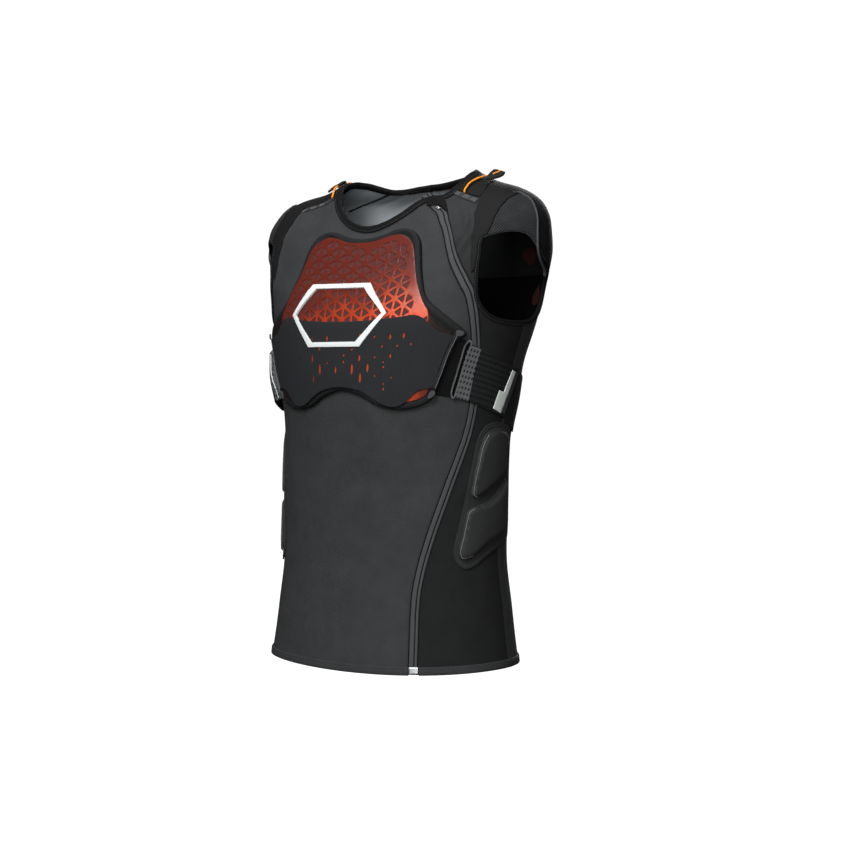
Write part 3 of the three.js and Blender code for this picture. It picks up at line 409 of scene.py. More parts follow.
# Around, rise, and height of the cord above its bed in mm
CORD_ROWS = {
    1: (
        (58.8, 0.934, 0), (60.6, 0.9395, 0.6), (63.4, 0.945, 1.0), (68.0, 0.9524, 1.2),
        (74.7, 0.9560, 1.2), (80, 0.9575, 1.0), (88.0, 0.9595, 1),
    ),
    -1: (
        (57, 0.981, 0), (60, 0.984, 0.6), (66, 0.985, 1.0), (74, 0.983, 1.2), (81, 0.978, 1.2),
        (86, 0.973, 1.5), (90, 0.978, 2.5), (95, 0.984, 3.0), (101, 0.985, 2.5), (107, 0.984, 0.4),
    ),
}
# The point of the cord's path that its eyelet stands at
EYELET_POINT = {1: -4, -1: -24}
# Upright slots of the cover: around, rise, length in mm
SLOTS = (
    (-14.3, 0.588, 8.9), (-10.3, 0.572, 10.2), (-6.3, 0.588, 7.7), (-18.3, 0.569, 2.6),
    (-22.2, 0.550, 4.1), (-14.4, 0.551, 12.4), (-6.1, 0.542, 3.0), (-18.2, 0.531, 3.0),
    (-10.2, 0.531, 14.6), (-14.2, 0.513, 10.2), (-1.8, 0.529, 8.9), (2.2, 0.556, 3.6),
    (2.1, 0.544, 3.8), (5.7, 0.578, 3.0), (5.9, 0.567, 3.8), (6.2, 0.531, 14.6),
    (9.1, 0.589, 12.4), (9.5, 0.551, 8.9), (10.1, 0.515, 13.4), (13.4, 0.533, 11.5),
    (15.4, 0.590, 3.0), (16.3, 0.552, 3.2), (16.8, 0.518, 2.6), (19.0, 0.572, 3.2),
    (20.2, 0.543, 2.6), (20.4, 0.534, 3.2), (20.8, 0.503, 2.6), (20.9, 0.4945, 4.1),
    (22.0, 0.590, 7.4), (23.0, 0.554, 5.8), (24.1, 0.515, 2.6), (25.4, 0.573, 3.2),
    (27.6, 0.592, 7.1), (31.0, 0.576, 2.8),
)


def monotone(xs, ys):
    """A smooth curve through table values that never overshoots between two rows."""
    xs, ys = np.array(xs, float), np.array(ys, float)
    gaps, rises = np.diff(xs), np.diff(ys)
    slope = rises / gaps
    tangent = np.zeros_like(ys)
    for i in range(1, len(xs) - 1):
        if slope[i - 1] * slope[i] > 0:
            before = 2 * gaps[i] + gaps[i - 1]
            after = gaps[i] + 2 * gaps[i - 1]
            tangent[i] = (before + after) / (before / slope[i - 1] + after / slope[i])
    tangent[0], tangent[-1] = slope[0], slope[-1]

    def curve(x):
        i = np.clip(np.searchsorted(xs, x, side="left") - 1, 0, len(xs) - 2)
        s = (x - xs[i]) / gaps[i]
        return (
            ys[i] * (1 + 2 * s) * (1 - s) ** 2
            + tangent[i] * gaps[i] * s * (1 - s) ** 2
            + ys[i + 1] * s * s * (3 - 2 * s)
            + tangent[i + 1] * gaps[i] * s * s * (s - 1)
        )

    return curve


class Torso:
    """The surface that all pieces wrap, worked out once from the named sizes."""

    def __init__(self, s):
        width, height = s.shoulder_half_width, s.body_height
        unit = (width, height, -s.front_reach, height, s.back_reach, height, 1)
        columns = [np.array([row[k] for row in SECTIONS]) * unit[k] for k in range(7)]
        steps = np.hypot(np.diff(columns[0]), np.diff(columns[1]))
        shares = np.concatenate([[0], np.cumsum(steps)])
        shares /= shares[-1]
        self.curves = [monotone(shares, column) for column in columns]
        self.neck_wave = monotone(*zip(*NECK_WAVE))
        self.measure()

    def bare(self, around, rise):
        """Points of the surface in millimetres, carried on straight past the hem and neck."""
        around, rise = np.asarray(around, float), np.asarray(rise, float)
        kept = np.clip(rise, 0, 1)
        points = self.on_sections(around, kept)
        beyond = rise - kept
        if np.any(beyond):
            near = np.where(kept > 0.5, kept - 0.002, kept + 0.002)
            slope = (points - self.on_sections(around, near)) / (kept - near)[..., None]
            points = points + slope * beyond[..., None]
        return points

    def on_sections(self, around, rise):
        angle = np.radians(around)
        side, side_z, front, front_z, back, back_z, middle = (f(rise) for f in self.curves)
        centre = front + (back - front) * middle
        sin, cos = np.sin(angle), np.cos(angle)
        ahead = cos > 0
        reach = np.where(ahead, centre - front, back - centre)
        lift = np.where(ahead, front_z, back_z) - side_z
        dip = np.maximum(0, np.cos(np.radians(around - HEM_DIP_AROUND))) ** 2
        dip = HEM_DIP * dip * np.maximum(0, 1 - rise / 0.12)
        tilt = NECK_TILT * sin * np.maximum(0, (rise - 0.85) / 0.15)
        turned = (around + 180) % 360 - 180
        wave = self.neck_wave(turned) * np.maximum(0, (rise - 0.88) / 0.12) ** 2
        up = side_z + lift * cos * cos - dip + tilt + wave
        return np.stack([side * sin, centre - reach * cos, up], -1)

    def outward(self, around, rise):
        rise = np.clip(rise, 0, 1)
        low, high = np.maximum(rise - 0.001, 0), np.minimum(rise + 0.001, 1)
        across = self.bare(around + 0.1, rise) - self.bare(around - 0.1, rise)
        upward = self.bare(around, high) - self.bare(around, low)
        normal = np.cross(across, upward)
        return normal / np.linalg.norm(normal, axis=-1, keepdims=True)

    def scale(self, around, rise):
        """Millimetres per degree around and per unit of rise."""
        rise = np.clip(rise, 0, 1)
        low, high = np.maximum(rise - 0.002, 0), np.minimum(rise + 0.002, 1)
        degree = self.bare(around + 0.5, rise) - self.bare(around - 0.5, rise)
        upward = self.bare(around, high) - self.bare(around, low)
        per_rise = np.linalg.norm(upward, axis=-1) / (high - low)
        return np.stack([np.linalg.norm(degree, axis=-1), per_rise], -1)

    def measure(self):
        """Lengths of cloth around and up the torso, for the weave."""
        self.arounds = np.arange(-180, 361, 5.0)
        self.rises = np.linspace(0, 1, 51)
        grid = np.meshgrid(self.arounds, self.rises, indexing="ij")
        points = self.bare(*grid)
        across = np.linalg.norm(np.diff(points, axis=0), axis=-1)
        upward = np.linalg.norm(np.diff(points, axis=1), axis=-1)
        self.across = np.concatenate([np.zeros((1, 51)), np.cumsum(across, 0)])
        self.across -= self.across[np.searchsorted(self.arounds, 0)]
        self.upward = np.concatenate([np.zeros((len(self.arounds), 1)), np.cumsum(upward, 1)], 1)
        places = np.array([row[:2] for row in FOLDS], float)
        self.fold_scales = self.scale(places[:, 0], places[:, 1])

    def cloth_length(self, around, rise):
        """Millimetres of cloth from the front centre and from the hem."""
        rise = np.clip(rise, 0, 1)
        i = np.clip(((around + 180) / 5).astype(int), 0, len(self.arounds) - 2)
        j = np.clip((rise * 50).astype(int), 0, 49)
        a = (around - self.arounds[i]) / 5
        b = rise * 50 - j
        result = []
        for table in (self.across, self.upward):
            low = table[i, j] * (1 - a) + table[i + 1, j] * a
            high = table[i, j + 1] * (1 - a) + table[i + 1, j + 1] * a
            result.append(low * (1 - b) + high * b)
        return np.stack(result, -1)

    def folds(self, around, rise):
        """Height of the cloth's soft folds in millimetres."""
        total = np.zeros_like(around)
        turned = (around + 180) % 360 - 180
        phase = np.radians(turned)
        total += 0.25 * np.sin(5 * phase + 23 * rise) * np.sin(31 * rise - 3 * phase)
        for k, (centre, level, length, width, turn, height) in enumerate(FOLDS):
            scale = self.fold_scales[k]
            x = ((turned - centre + 180) % 360 - 180) * scale[0]
            y = (rise - level) * scale[1]
            cos, sin = math.cos(math.radians(turn)), math.sin(math.radians(turn))
            along, beside = x * cos + y * sin, y * cos - x * sin
            bend = beside - 0.004 * along**2
            total += height * np.exp(-((along / length) ** 2) - (bend / width) ** 2)
        return total

    def place(self, around, rise, height):
        """Points at a height above the folded surface, in metres."""
        around, rise = np.asarray(around, float), np.asarray(rise, float)
        height = np.asarray(height, float) + self.folds(around, rise)
        return (self.bare(around, rise) + self.outward(around, rise) * height[..., None]) * MM


STORE = {}


def torso():
    if "torso" not in STORE:
        STORE["torso"] = Torso(sizes())
    return STORE["torso"]


# Outlines on the chart


# What degrees and rises are multiplied by, for units of about even length
EVEN = (1, 400)


def catmull(points, closed, per_row):
    """Points of a smooth curve through chart points, which are read in even units."""
    even = np.asarray(points, float) * EVEN
    n = len(even)
    result = []
    for k in range(n if closed else n - 1):
        near = [k - 1, k, k + 1, k + 2]
        if closed:
            p = [even[i % n] for i in near]
        else:
            p = [even[min(max(i, 0), n - 1)] for i in near]
            if k == 0:
                p[0] = 2 * p[1] - p[2]
            if k == n - 2:
                p[3] = 2 * p[2] - p[1]
        knots = [0]
        for a, b in zip(p, p[1:]):
            knots.append(knots[-1] + max(np.linalg.norm(b - a), 1e-6) ** 0.5)
        for step in range(per_row):
            t = knots[1] + (knots[2] - knots[1]) * step / per_row

            def mix(a, b, i, j):
                return a + (b - a) * (t - knots[i]) / (knots[j] - knots[i])

            first = [mix(p[i], p[i + 1], i, i + 1) for i in range(3)]
            second = [mix(first[i], first[i + 1], i, i + 2) for i in range(2)]
            result.append(mix(second[0], second[1], 1, 2))
    if not closed:
        result.append(even[-1])
    return np.array(result) / EVEN


def spaced(path, gap, closed=False):
    """A path resampled to steps of about gap millimetres."""
    path = np.asarray(path, float)
    if closed:
        path = np.vstack([path, path[:1]])
    along = run_length(torso().bare(path[:, 0], path[:, 1]))
    count = max(2, int(round(along[-1] / gap)))
    wanted = np.linspace(0, along[-1], count + 1)
    result = np.stack([np.interp(wanted, along, path[:, k]) for k in (0, 1)], -1)
    return result[:-1] if closed else result


def offset_path(path, distance, closed=False, clip=True):
    """A path moved sideways by millimetres, to its left when the distance is positive."""
    path = np.asarray(path, float)
    if closed:
        before, after = np.roll(path, 1, 0), np.roll(path, -1, 0)
    else:
        before = np.vstack([path[:1], path[:-1]])
        after = np.vstack([path[1:], path[-1:]])
    scale = torso().scale(path[:, 0], path[:, 1])
    step = after - before
    step[:, 0] = (step[:, 0] + 180) % 360 - 180
    step = step * scale
    step /= np.maximum(np.linalg.norm(step, axis=1, keepdims=True), 1e-9)
    distance = np.reshape(distance, (-1, 1))
    moved = path + np.stack([-step[:, 1], step[:, 0]], -1) * distance / scale
    if clip:
        moved[:, 1] = np.clip(moved[:, 1], 0, 1)
    return moved


def area(loop):
    loop = np.asarray(loop)
    x, y = loop[:, 0], loop[:, 1]
    return 0.5 * np.sum(x * np.roll(y, -1) - np.roll(x, -1) * y)


def leftward(loop):
    """The loop with its inside on its left."""
    loop = np.asarray(loop, float)
    return loop if area(loop) > 0 else loop[::-1]


def both_halves(half):
    half = np.asarray(half, float)
    return np.vstack([half, guard_end(half[1:-1][::-1], -1)])


def on_side(rows, side):
    return np.asarray(rows, float) * (side, 1)


def guard_end(rows, side):
    """Rows of the chest guard on one side. On the wearer's right it reaches further round."""
    rows = np.asarray(rows, float)
    further = np.clip((rows[:, 0] - 40) * 0.45, 0, 3.2)
    return rows * (side, 1) - np.stack([further * (side < 0), 0 * further], -1)


def inside(loop, points):
    """Which points lie in a chart loop."""
    points = np.asarray(points, float)
    found = np.zeros(len(points), bool)
    for p, q in zip(loop, np.roll(loop, -1, 0)):
        if p[1] == q[1]:
            continue
        between = (p[1] > points[:, 1]) != (q[1] > points[:, 1])
        edge = p[0] + (points[:, 1] - p[1]) / (q[1] - p[1]) * (q[0] - p[0])
        found ^= between & (points[:, 0] < edge)
    return found


def distance_to(loop, points):
    """Millimetres from chart points to the nearest place on a loop."""
    points = np.asarray(points, float)
    scale = torso().scale(points[:, 0], points[:, 1])
    best = np.full(len(points), 1e9)
    for p, q in zip(loop, np.roll(loop, -1, 0)):
        to_p = (points - p) * scale
        edge = (q - p) * scale
        share = np.sum(to_p * edge, 1) / np.maximum(np.sum(edge * edge, 1), 1e-12)
        gap = to_p - edge * np.clip(share, 0, 1)[:, None]
        best = np.minimum(best, np.linalg.norm(gap, axis=1))
    return best


# Pieces from the chart


def chart_unit(outline):
    """Millimetres per degree around and per unit of rise near the middle of an outline."""
    middle = np.mean(outline, axis=0)
    return torso().scale(middle[:1], middle[1:])[0]


def finish_piece(bm, name, finishes, nodes=(), smooth=50):
    """Turns a bmesh in metres into a piece that rides on the frame, with the finishes named."""
    mesh = bpy.data.meshes.new(name)
    bm.to_mesh(mesh)
    bm.free()
    piece = bpy.data.objects.new(name, mesh)
    bpy.context.scene.collection.objects.link(piece)
    for finish in finishes.split():
        mesh.materials.append(finish_of(finish))
    mesh.polygons.foreach_set("use_smooth", [True] * len(mesh.polygons))
    mesh.set_sharp_from_angle(angle=math.radians(smooth))
    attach(piece, "root")
    if nodes:
        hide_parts(*nodes)
    return piece


def everything(bm):
    return bm.verts[:] + bm.edges[:] + bm.faces[:]


def cut_grid(bm, gap):
    """Cuts flat chart faces along an even grid, so that they can bend."""
    for axis in (0, 1):
        values = [v.co[axis] for v in bm.verts]
        for k in range(math.ceil(min(values) / gap), math.floor(max(values) / gap) + 1):
            place, normal = Vector(), Vector()
            place[axis], normal[axis] = k * gap + 1e-3, 1
            bmesh.ops.bisect_plane(
                bm, geom=everything(bm), dist=1e-4, plane_co=place, plane_no=normal
            )


def edge_rings(bm, face, unit, rings):
    """Insets a chart face in rings of (distance, height) in mm from its outline."""
    for distance, height in rings:
        corners = np.array([v.co[:2] for v in face.verts])
        moved = offset_path(corners / unit, distance, closed=True) * unit
        bmesh.ops.inset_individual(bm, faces=[face], thickness=0)
        for vertex in face.verts:
            nearest = np.argmin(np.sum((corners - vertex.co[:2]) ** 2, 1))
            vertex.co = (*moved[nearest], height)


def wrap(bm, unit):
    """Moves chart vertices, with their height as z, onto the torso, and keeps a cloth UV map."""
    chart = np.array([v.co[:] for v in bm.verts])
    around, rise = chart[:, 0] / unit[0], chart[:, 1] / unit[1]
    lengths = torso().cloth_length(around, rise) * MM
    bm.verts.index_update()
    layer = bm.loops.layers.uv.new("cloth")
    for face in bm.faces:
        for loop in face.loops:
            loop[layer].uv = lengths[loop.vert.index]
    for vertex, place in zip(bm.verts, torso().place(around, rise, chart[:, 2])):
        vertex.co = place


def thicken(bm, low, under=None):
    """Gives a chart sheet its back, flat at a height or else that far under its face."""
    made = bmesh.ops.extrude_face_region(bm, geom=bm.faces[:], use_keep_orig=True)
    for item in made["geom"]:
        if isinstance(item, bmesh.types.BMVert):
            item.co.z = low if under is None else item.co.z - under
    bmesh.ops.recalc_face_normals(bm, faces=bm.faces)


def sheet(outline, low, high, gap=4.0, edge=0.4, shape=None, lifted=False):
    """A closed sheet over a chart outline. Its rim is rounded over edge millimetres, and shape
    gives the height added at chart points from their distance to the outline. The back of a
    lifted sheet follows its face."""
    outline = leftward(outline)
    unit = chart_unit(outline)
    bm = bmesh.new()
    rim_height = high - edge
    face = bm.faces.new([bm.verts.new((*(p * unit), rim_height)) for p in outline])
    if edge > 0:
        edge_rings(bm, face, unit, [(edge * 0.3, high - edge * 0.3), (edge * 0.7, high)])
    cut_grid(bm, gap)
    bmesh.ops.remove_doubles(bm, verts=bm.verts, dist=0.01)
    if shape is not None:
        points = np.array([v.co[:2] for v in bm.verts]) / unit
        for vertex, extra in zip(bm.verts, shape(points, distance_to(outline, points))):
            vertex.co.z += extra
    thicken(bm, low, high - low - edge if lifted else None)
    wrap(bm, unit)
    return bm


def tube(table, along, across, closed=False):
    """A closed skin over points in metres, table[place in the section][place along it]. Its UV
    map holds the lengths along and across."""
    m, n = len(table), len(table[0])
    count = n if closed else n - 1
    bm = bmesh.new()
    bmesh.ops.create_grid(bm, x_segments=count, y_segments=m, size=1)
    cells = {
        v: (round((v.co.x + 1) / 2 * count), round((v.co.y + 1) / 2 * m)) for v in bm.verts
    }
    uvs = bm.loops.layers.uv.new("cloth")
    for face in bm.faces:
        for loop in face.loops:
            i, j = cells[loop.vert]
            loop[uvs].uv = (along[i], across[j])
    for vertex, (i, j) in cells.items():
        vertex.co = table[j % m][i % n]
    bmesh.ops.remove_doubles(bm, verts=bm.verts, dist=1e-7)
    if not closed:
        bmesh.ops.holes_fill(bm, edges=[e for e in bm.edges if e.is_boundary], sides=0)
    bmesh.ops.recalc_face_normals(bm, faces=bm.faces)
    return bm


def ribbon(path, section, closed=False, twist=None):
    """A strip swept along a chart path. section is a closed list of (sideways, height) in mm,
    sideways to the left of the path, turned once every twist millimetres where that is given."""
    path = np.asarray(path, float)
    n = len(path)
    place = torso().bare(path[:, 0], path[:, 1]) * MM
    along = run_length(np.vstack([place, place[:1]]))
    turns = np.zeros(n) if twist is None else along[:n] / MM * 2 * math.pi / twist
    if twist is not None and closed:
        turns *= round(along[n] / MM / twist) * twist / (along[n] / MM)
    middle = np.mean(section, axis=0)
    table = []
    for sideways, height in np.array(section, float) - middle:
        aside = middle[0] + sideways * np.cos(turns) - height * np.sin(turns)
        up = middle[1] + sideways * np.sin(turns) + height * np.cos(turns)
        moved = offset_path(path, aside, closed, clip=False)
        table.append(torso().place(moved[:, 0], moved[:, 1], up))
    across = run_length(np.array(list(section) + [section[0]], float) * MM)
    return tube(table, along, across, closed)


def offset_flat(loop, distance):
    """A loop in mm moved to its left by a distance, with its corners kept."""
    before, after = loop - np.roll(loop, 1, 0), np.roll(loop, -1, 0) - loop
    sides = []
    for edge in (before, after):
        edge = edge / np.maximum(np.linalg.norm(edge, axis=1, keepdims=True), 1e-9)
        sides.append(np.stack([-edge[:, 1], edge[:, 0]], -1))
    between = sides[0] + sides[1]
    share = np.maximum(np.sum(between * sides[0], 1, keepdims=True), 0.5)
    return loop + between / share * distance


def pierced(outline, holes, low, high, gap, lip, unit):
    """A closed sheet with holes, given in mm, whose rims are rounded over lip millimetres."""
    outline = leftward(outline)
    bm = bmesh.new()
    edges, rims = [], []
    for loop in [outline * unit, *[leftward(hole)[::-1] for hole in holes]]:
        flush = offset_flat(loop, lip)
        corners = [bm.verts.new((*p, high)) for p in flush]
        ring = [bm.edges.new((p, q)) for p, q in zip(corners, corners[1:] + corners[:1])]
        edges += ring
        rims.append((ring, flush, offset_flat(loop, lip * 0.3), loop))
    bmesh.ops.triangle_fill(bm, use_beauty=True, edges=edges, normal=(0, 0, 1))
    for ring, flush, half, loop in rims:
        for target, depth in ((half, 0.3), (loop, 1.0)):
            made = bmesh.ops.extrude_edge_only(bm, edges=ring)["geom"]
            fresh = {g for g in made if isinstance(g, bmesh.types.BMVert)}
            ring = [
                g for g in made
                if isinstance(g, bmesh.types.BMEdge) and all(v in fresh for v in g.verts)
            ]
            for vertex in fresh:
                nearest = np.argmin(np.sum((flush - vertex.co[:2]) ** 2, 1))
                vertex.co = (*target[nearest], high - lip * depth)
            flush = target
    cut_grid(bm, gap)
    bmesh.ops.remove_doubles(bm, verts=bm.verts, dist=0.01)
    thicken(bm, low)
    wrap(bm, unit)
    return bm


def clipped(polygon, field):
    """The part of a small convex polygon to the left of the field's edges near it."""
    middle = polygon.mean(0)
    for p, q in zip(field, np.roll(field, -1, 0)):
        edge = q - p
        share = np.clip(np.dot(middle - p, edge) / max(np.dot(edge, edge), 1e-9), 0, 1)
        if np.linalg.norm(p + share * edge - middle) > 9:
            continue
        to = polygon - p
        side = edge[0] * to[:, 1] - edge[1] * to[:, 0]
        kept = []
        for k in range(len(polygon)):
            a, b = polygon[k - 1], polygon[k]
            if (side[k - 1] > 0) != (side[k] > 0):
                kept.append(a + (b - a) * side[k - 1] / (side[k - 1] - side[k]))
            if side[k] > 0:
                kept.append(b)
        if len(kept) < 3:
            return None
        polygon = np.array(kept)
    return polygon


def blunted(polygon, share=0.13):
    """A polygon with its corners cut off."""
    result = []
    for k, corner in enumerate(polygon):
        for other in (polygon[k - 1], polygon[(k + 1) % len(polygon)]):
            result.append(corner + (other - corner) * share)
    return np.array(result)


def flat_section(width, low, high, crown=0.0, count=6, edge=0.35, shift=0.0):
    """A strap's section with rounded edges, for ribbon."""
    half = width / 2
    top = []
    for k in range(count + 1):
        x = -half + edge + (width - 2 * edge) * k / count
        top.append((x + shift, high + crown * (1 - (x / half) ** 2)))
    rim = high - edge
    ends = [(half, rim), (half, low)]
    return [(shift - half, low), (shift - half, rim), *top, *[(x + shift, z) for x, z in ends]]


def round_section(radius, height, count=10, shift=0.0):
    turns = [2 * math.pi * k / count for k in range(count)]
    return [(shift + radius * math.cos(a), height + radius * math.sin(a)) for a in turns]


def seam(bm, path, height, pitch=None, length=None, slant=0.0, radius=None):
    """Adds a row of stitches along a chart path."""
    s = sizes()
    length = (length or s.stitch_length) * MM
    radius = (radius or s.stitch_radius) * MM
    spots = spaced(path, pitch or s.stitch_pitch)
    middle = (spots[:-1] + spots[1:]) / 2
    places = torso().place(middle[:, 0], middle[:, 1], np.full(len(middle), float(height)))
    ends = torso().place(spots[:, 0], spots[:, 1], np.full(len(spots), float(height)))
    normals = torso().outward(middle[:, 0], middle[:, 1])
    for k, place in enumerate(places):
        forward = Vector(ends[k + 1] - ends[k]).normalized()
        up = Vector(normals[k])
        beside = up.cross(forward).normalized()
        if slant:
            turn = Matrix.Rotation(slant if k % 2 else -slant, 3, up)
            forward, beside = turn @ forward, turn @ beside
        basis = Matrix((forward, beside, up)).transposed().to_4x4()
        size = Matrix.Diagonal((length / 2, radius, radius * 0.8, 1))
        matrix = Matrix.Translation(place) @ basis @ size
        bmesh.ops.create_uvsphere(bm, u_segments=6, v_segments=4, radius=1, matrix=matrix)


def stitched(name, rows, finish):
    """One piece of all the stitches in rows of (path, height, further settings)."""
    bm = bmesh.new()
    for path, height, more in rows:
        seam(bm, path, height, **more)
    return finish_piece(bm, name, finish)


def along_outline(outline, distance):
    """A closed path beside an outline, given once round to its start again."""
    loop = leftward(outline)
    moved = offset_path(loop, distance, closed=True)
    return np.vstack([moved, moved[:1]])


# Materials

# Scale of a wave texture whose bands are one millimetre apart, over a vector in metres
BAND_SCALE = 314.0
# How far a pattern stands up, in metres
KNIT_RELIEF = 0.0003
RIB_RELIEF = 0.0004
EYELET_RELIEF = 0.0005


def add(tree, kind, links=None, values=None, **settings):
    """Adds a node with its settings, socket values and links."""
    made = tree.nodes.new(kind)
    for name, value in settings.items():
        setattr(made, name, value)
    for socket, value in (values or {}).items():
        made.inputs[socket].default_value = value
    for socket, source in (links or {}).items():
        tree.links.new(source, made.inputs[socket])
    return made


def start(name, **values):
    """A material with its shader, whose even values stand on the shader's own sockets."""
    material = bpy.data.materials.new(name)
    material.use_nodes = True
    tree = material.node_tree
    shader = tree.nodes["Principled BSDF"]
    for socket, value in values.items():
        shader.inputs[socket.replace("_", " ")].default_value = value
    return material, tree, shader


def rgba(colour, share=1.0):
    return (*[c * share for c in colour], 1)


def shades(colour, contrast):
    """A darker and a lighter shade, on the two colour sockets of a mix."""
    return {6: rgba(colour, 1 - contrast), 7: rgba(colour, 1 + contrast)}


def turned_cloth(tree, turn):
    """The link to the piece's own cloth map, turned by degrees."""
    uv = add(tree, "ShaderNodeUVMap", uv_map="cloth")
    turned = add(
        tree, "ShaderNodeMapping", {"Vector": uv.outputs["UV"]},
        {"Rotation": (0, 0, math.radians(turn))},
    )
    return {"Vector": turned.outputs["Vector"]}


def coat(tree, shader, links, mixed, height, strength, distance, **settings):
    """Ends a material: two colours mixed into its base colour, and a relief."""
    mix = add(tree, "ShaderNodeMix", links, mixed, data_type="RGBA")
    tree.links.new(mix.outputs[2], shader.inputs["Base Color"])
    values = {"Strength": strength, "Distance": distance}
    relief = add(tree, "ShaderNodeBump", {"Height": height}, values, **settings)
    tree.links.new(relief.outputs["Normal"], shader.inputs["Normal"])
    return mix


def knit(name, colour, period=2.4, contrast=0.32, roughness=0.85, gloss=0.12, turn=45, bump=0.5,
         painted_shade_share=1.0):
    """Warp-knitted polyester: matt, with fine crossing ribs. The stitches of the real cloth are
    0.7 mm apart, too fine to show, so they are drawn at period millimetres. Below the armholes
    the colour falls to a share of itself: painted shade, where the flank turns from the light."""
    material, tree, shader = start(name, Roughness=roughness, Specular_IOR_Level=gloss)
    cloth, scale = turned_cloth(tree, turn), {"Scale": BAND_SCALE / period}
    wales = add(tree, "ShaderNodeTexWave", cloth, scale, bands_direction="X")
    courses = add(tree, "ShaderNodeTexWave", cloth, scale, bands_direction="Y")
    weave = add(
        tree, "ShaderNodeMath", {0: wales.outputs["Fac"], 1: courses.outputs["Fac"]},
        operation="MULTIPLY",
    )
    place = {"Vector": add(tree, "ShaderNodeTexCoord").outputs["Object"]}
    mottle = add(
        tree, "ShaderNodeTexNoise", place, {"Scale": 38.0, "Detail": 6.0, "Roughness": 0.65}
    )
    both = add(
        tree, "ShaderNodeMath", {0: weave.outputs["Value"], 1: mottle.outputs["Fac"]},
        operation="ADD",
    )
    tint = add(
        tree, "ShaderNodeMapRange", {"Value": both.outputs["Value"]},
        {"From Min": 0.3, "From Max": 1.4},
    )
    mix = coat(tree, shader, {"Factor": tint.outputs["Result"]}, shades(colour, contrast),
               both.outputs["Value"], bump, KNIT_RELIEF)
    # Painted shade: the colour darkens from the armholes down, as the flank turns from the light
    if painted_shade_share < 1:
        level = add(tree, "ShaderNodeSeparateXYZ", place)
        share = add(
            tree, "ShaderNodeMapRange", {"Value": level.outputs["Z"]},
            {"From Min": -0.17, "From Max": -0.03, "To Min": painted_shade_share},
        )
        shaded = add(
            tree, "ShaderNodeVectorMath", {0: mix.outputs[2], "Scale": share.outputs["Result"]},
            operation="SCALE",
        )
        tree.links.new(shaded.outputs["Vector"], shader.inputs["Base Color"])
    return material


def mottled(name, colour, scale=60.0, contrast=0.2, roughness=0.6, bump=0.2, grain=700.0, **more):
    """A moulded or foamed surface: soft changes of tone and a fine grain, by object place."""
    material, tree, shader = start(name, Roughness=roughness, **more)
    place = {"Vector": add(tree, "ShaderNodeTexCoord").outputs["Object"]}
    tone = add(tree, "ShaderNodeTexNoise", place, {"Scale": scale, "Detail": 4.0})
    fine = add(tree, "ShaderNodeTexNoise", place, {"Scale": grain, "Detail": 3.0})
    coat(tree, shader, {"Factor": tone.outputs["Fac"]}, shades(colour, contrast),
         fine.outputs["Fac"], bump, KNIT_RELIEF)
    return material


def ribbed(name, colour, period, contrast=0.35, roughness=0.8, direction="X", turn=0, bump=0.6):
    """Woven tape: even ribs of yarn across or along it."""
    material, tree, shader = start(name, Roughness=roughness, Specular_IOR_Level=0.12)
    ribs = add(
        tree, "ShaderNodeTexWave", turned_cloth(tree, turn), {"Scale": BAND_SCALE / period},
        bands_direction=direction,
    ).outputs["Fac"]
    coat(tree, shader, {"Factor": ribs}, shades(colour, contrast), ribs, bump, RIB_RELIEF)
    return material


def punched(name, colour, across, along, turn, depth=0.12):
    """Cloth with rows of small dark eyelets, across mm apart, with along mm between them."""
    material, tree, shader = start(name, Roughness=0.8, Specular_IOR_Level=0.12)
    cloth = turned_cloth(tree, turn)
    rows, columns, yarn = (
        add(tree, "ShaderNodeTexWave", cloth, {"Scale": BAND_SCALE / period}, bands_direction=axis)
        for period, axis in ((along, "X"), (across, "Y"), (1.7, "Y"))
    )
    dots = add(
        tree, "ShaderNodeMath", {0: rows.outputs["Fac"], 1: columns.outputs["Fac"]},
        operation="MULTIPLY",
    )
    mask = add(
        tree, "ShaderNodeMapRange", {"Value": dots.outputs["Value"]},
        {"From Min": 0.36, "From Max": 0.6},
    ).outputs["Result"]
    tone = add(
        tree, "ShaderNodeMix", {"Factor": yarn.outputs["Fac"]},
        {6: rgba(colour, 0.8), 7: rgba(colour, 1.25)}, data_type="RGBA",
    )
    coat(tree, shader, {"Factor": mask, 6: tone.outputs[2]}, {7: rgba(colour, depth)}, mask, 0.6,
         EYELET_RELIEF, invert=True)
    return material


def graded(name, first, second, direction, shift, roughness, middle=None, **more):
    """Two colours that pass into each other along a direction through the object, or away to
    both sides of a middle."""
    material, tree, shader = start(name, Roughness=roughness, **more)
    place = add(tree, "ShaderNodeTexCoord").outputs["Object"]
    spot = place
    if middle is not None:
        moved = add(tree, "ShaderNodeVectorMath", {0: place}, {1: middle}, operation="SUBTRACT")
        away = add(tree, "ShaderNodeVectorMath", {0: moved.outputs["Vector"]}, operation="ABSOLUTE")
        spot = away.outputs["Vector"]
    along = add(tree, "ShaderNodeVectorMath", {0: spot}, {1: direction}, operation="DOT_PRODUCT")
    cloud = add(tree, "ShaderNodeTexNoise", {"Vector": place}, {"Scale": 22.0, "Detail": 3.0})
    total = add(
        tree, "ShaderNodeMath", {0: along.outputs["Value"], 1: cloud.outputs["Fac"]},
        operation="ADD",
    )
    share = add(
        tree, "ShaderNodeMapRange", {"Value": total.outputs["Value"]},
        {"From Min": shift, "From Max": shift + 1.0}, interpolation_type="SMOOTHSTEP",
    )
    fine = add(tree, "ShaderNodeTexNoise", {"Vector": place}, {"Scale": 260.0, "Detail": 4.0})
    coat(tree, shader, {"Factor": share.outputs["Result"]}, {6: rgba(first), 7: rgba(second)},
         fine.outputs["Fac"], 0.12, RIB_RELIEF)
    return material


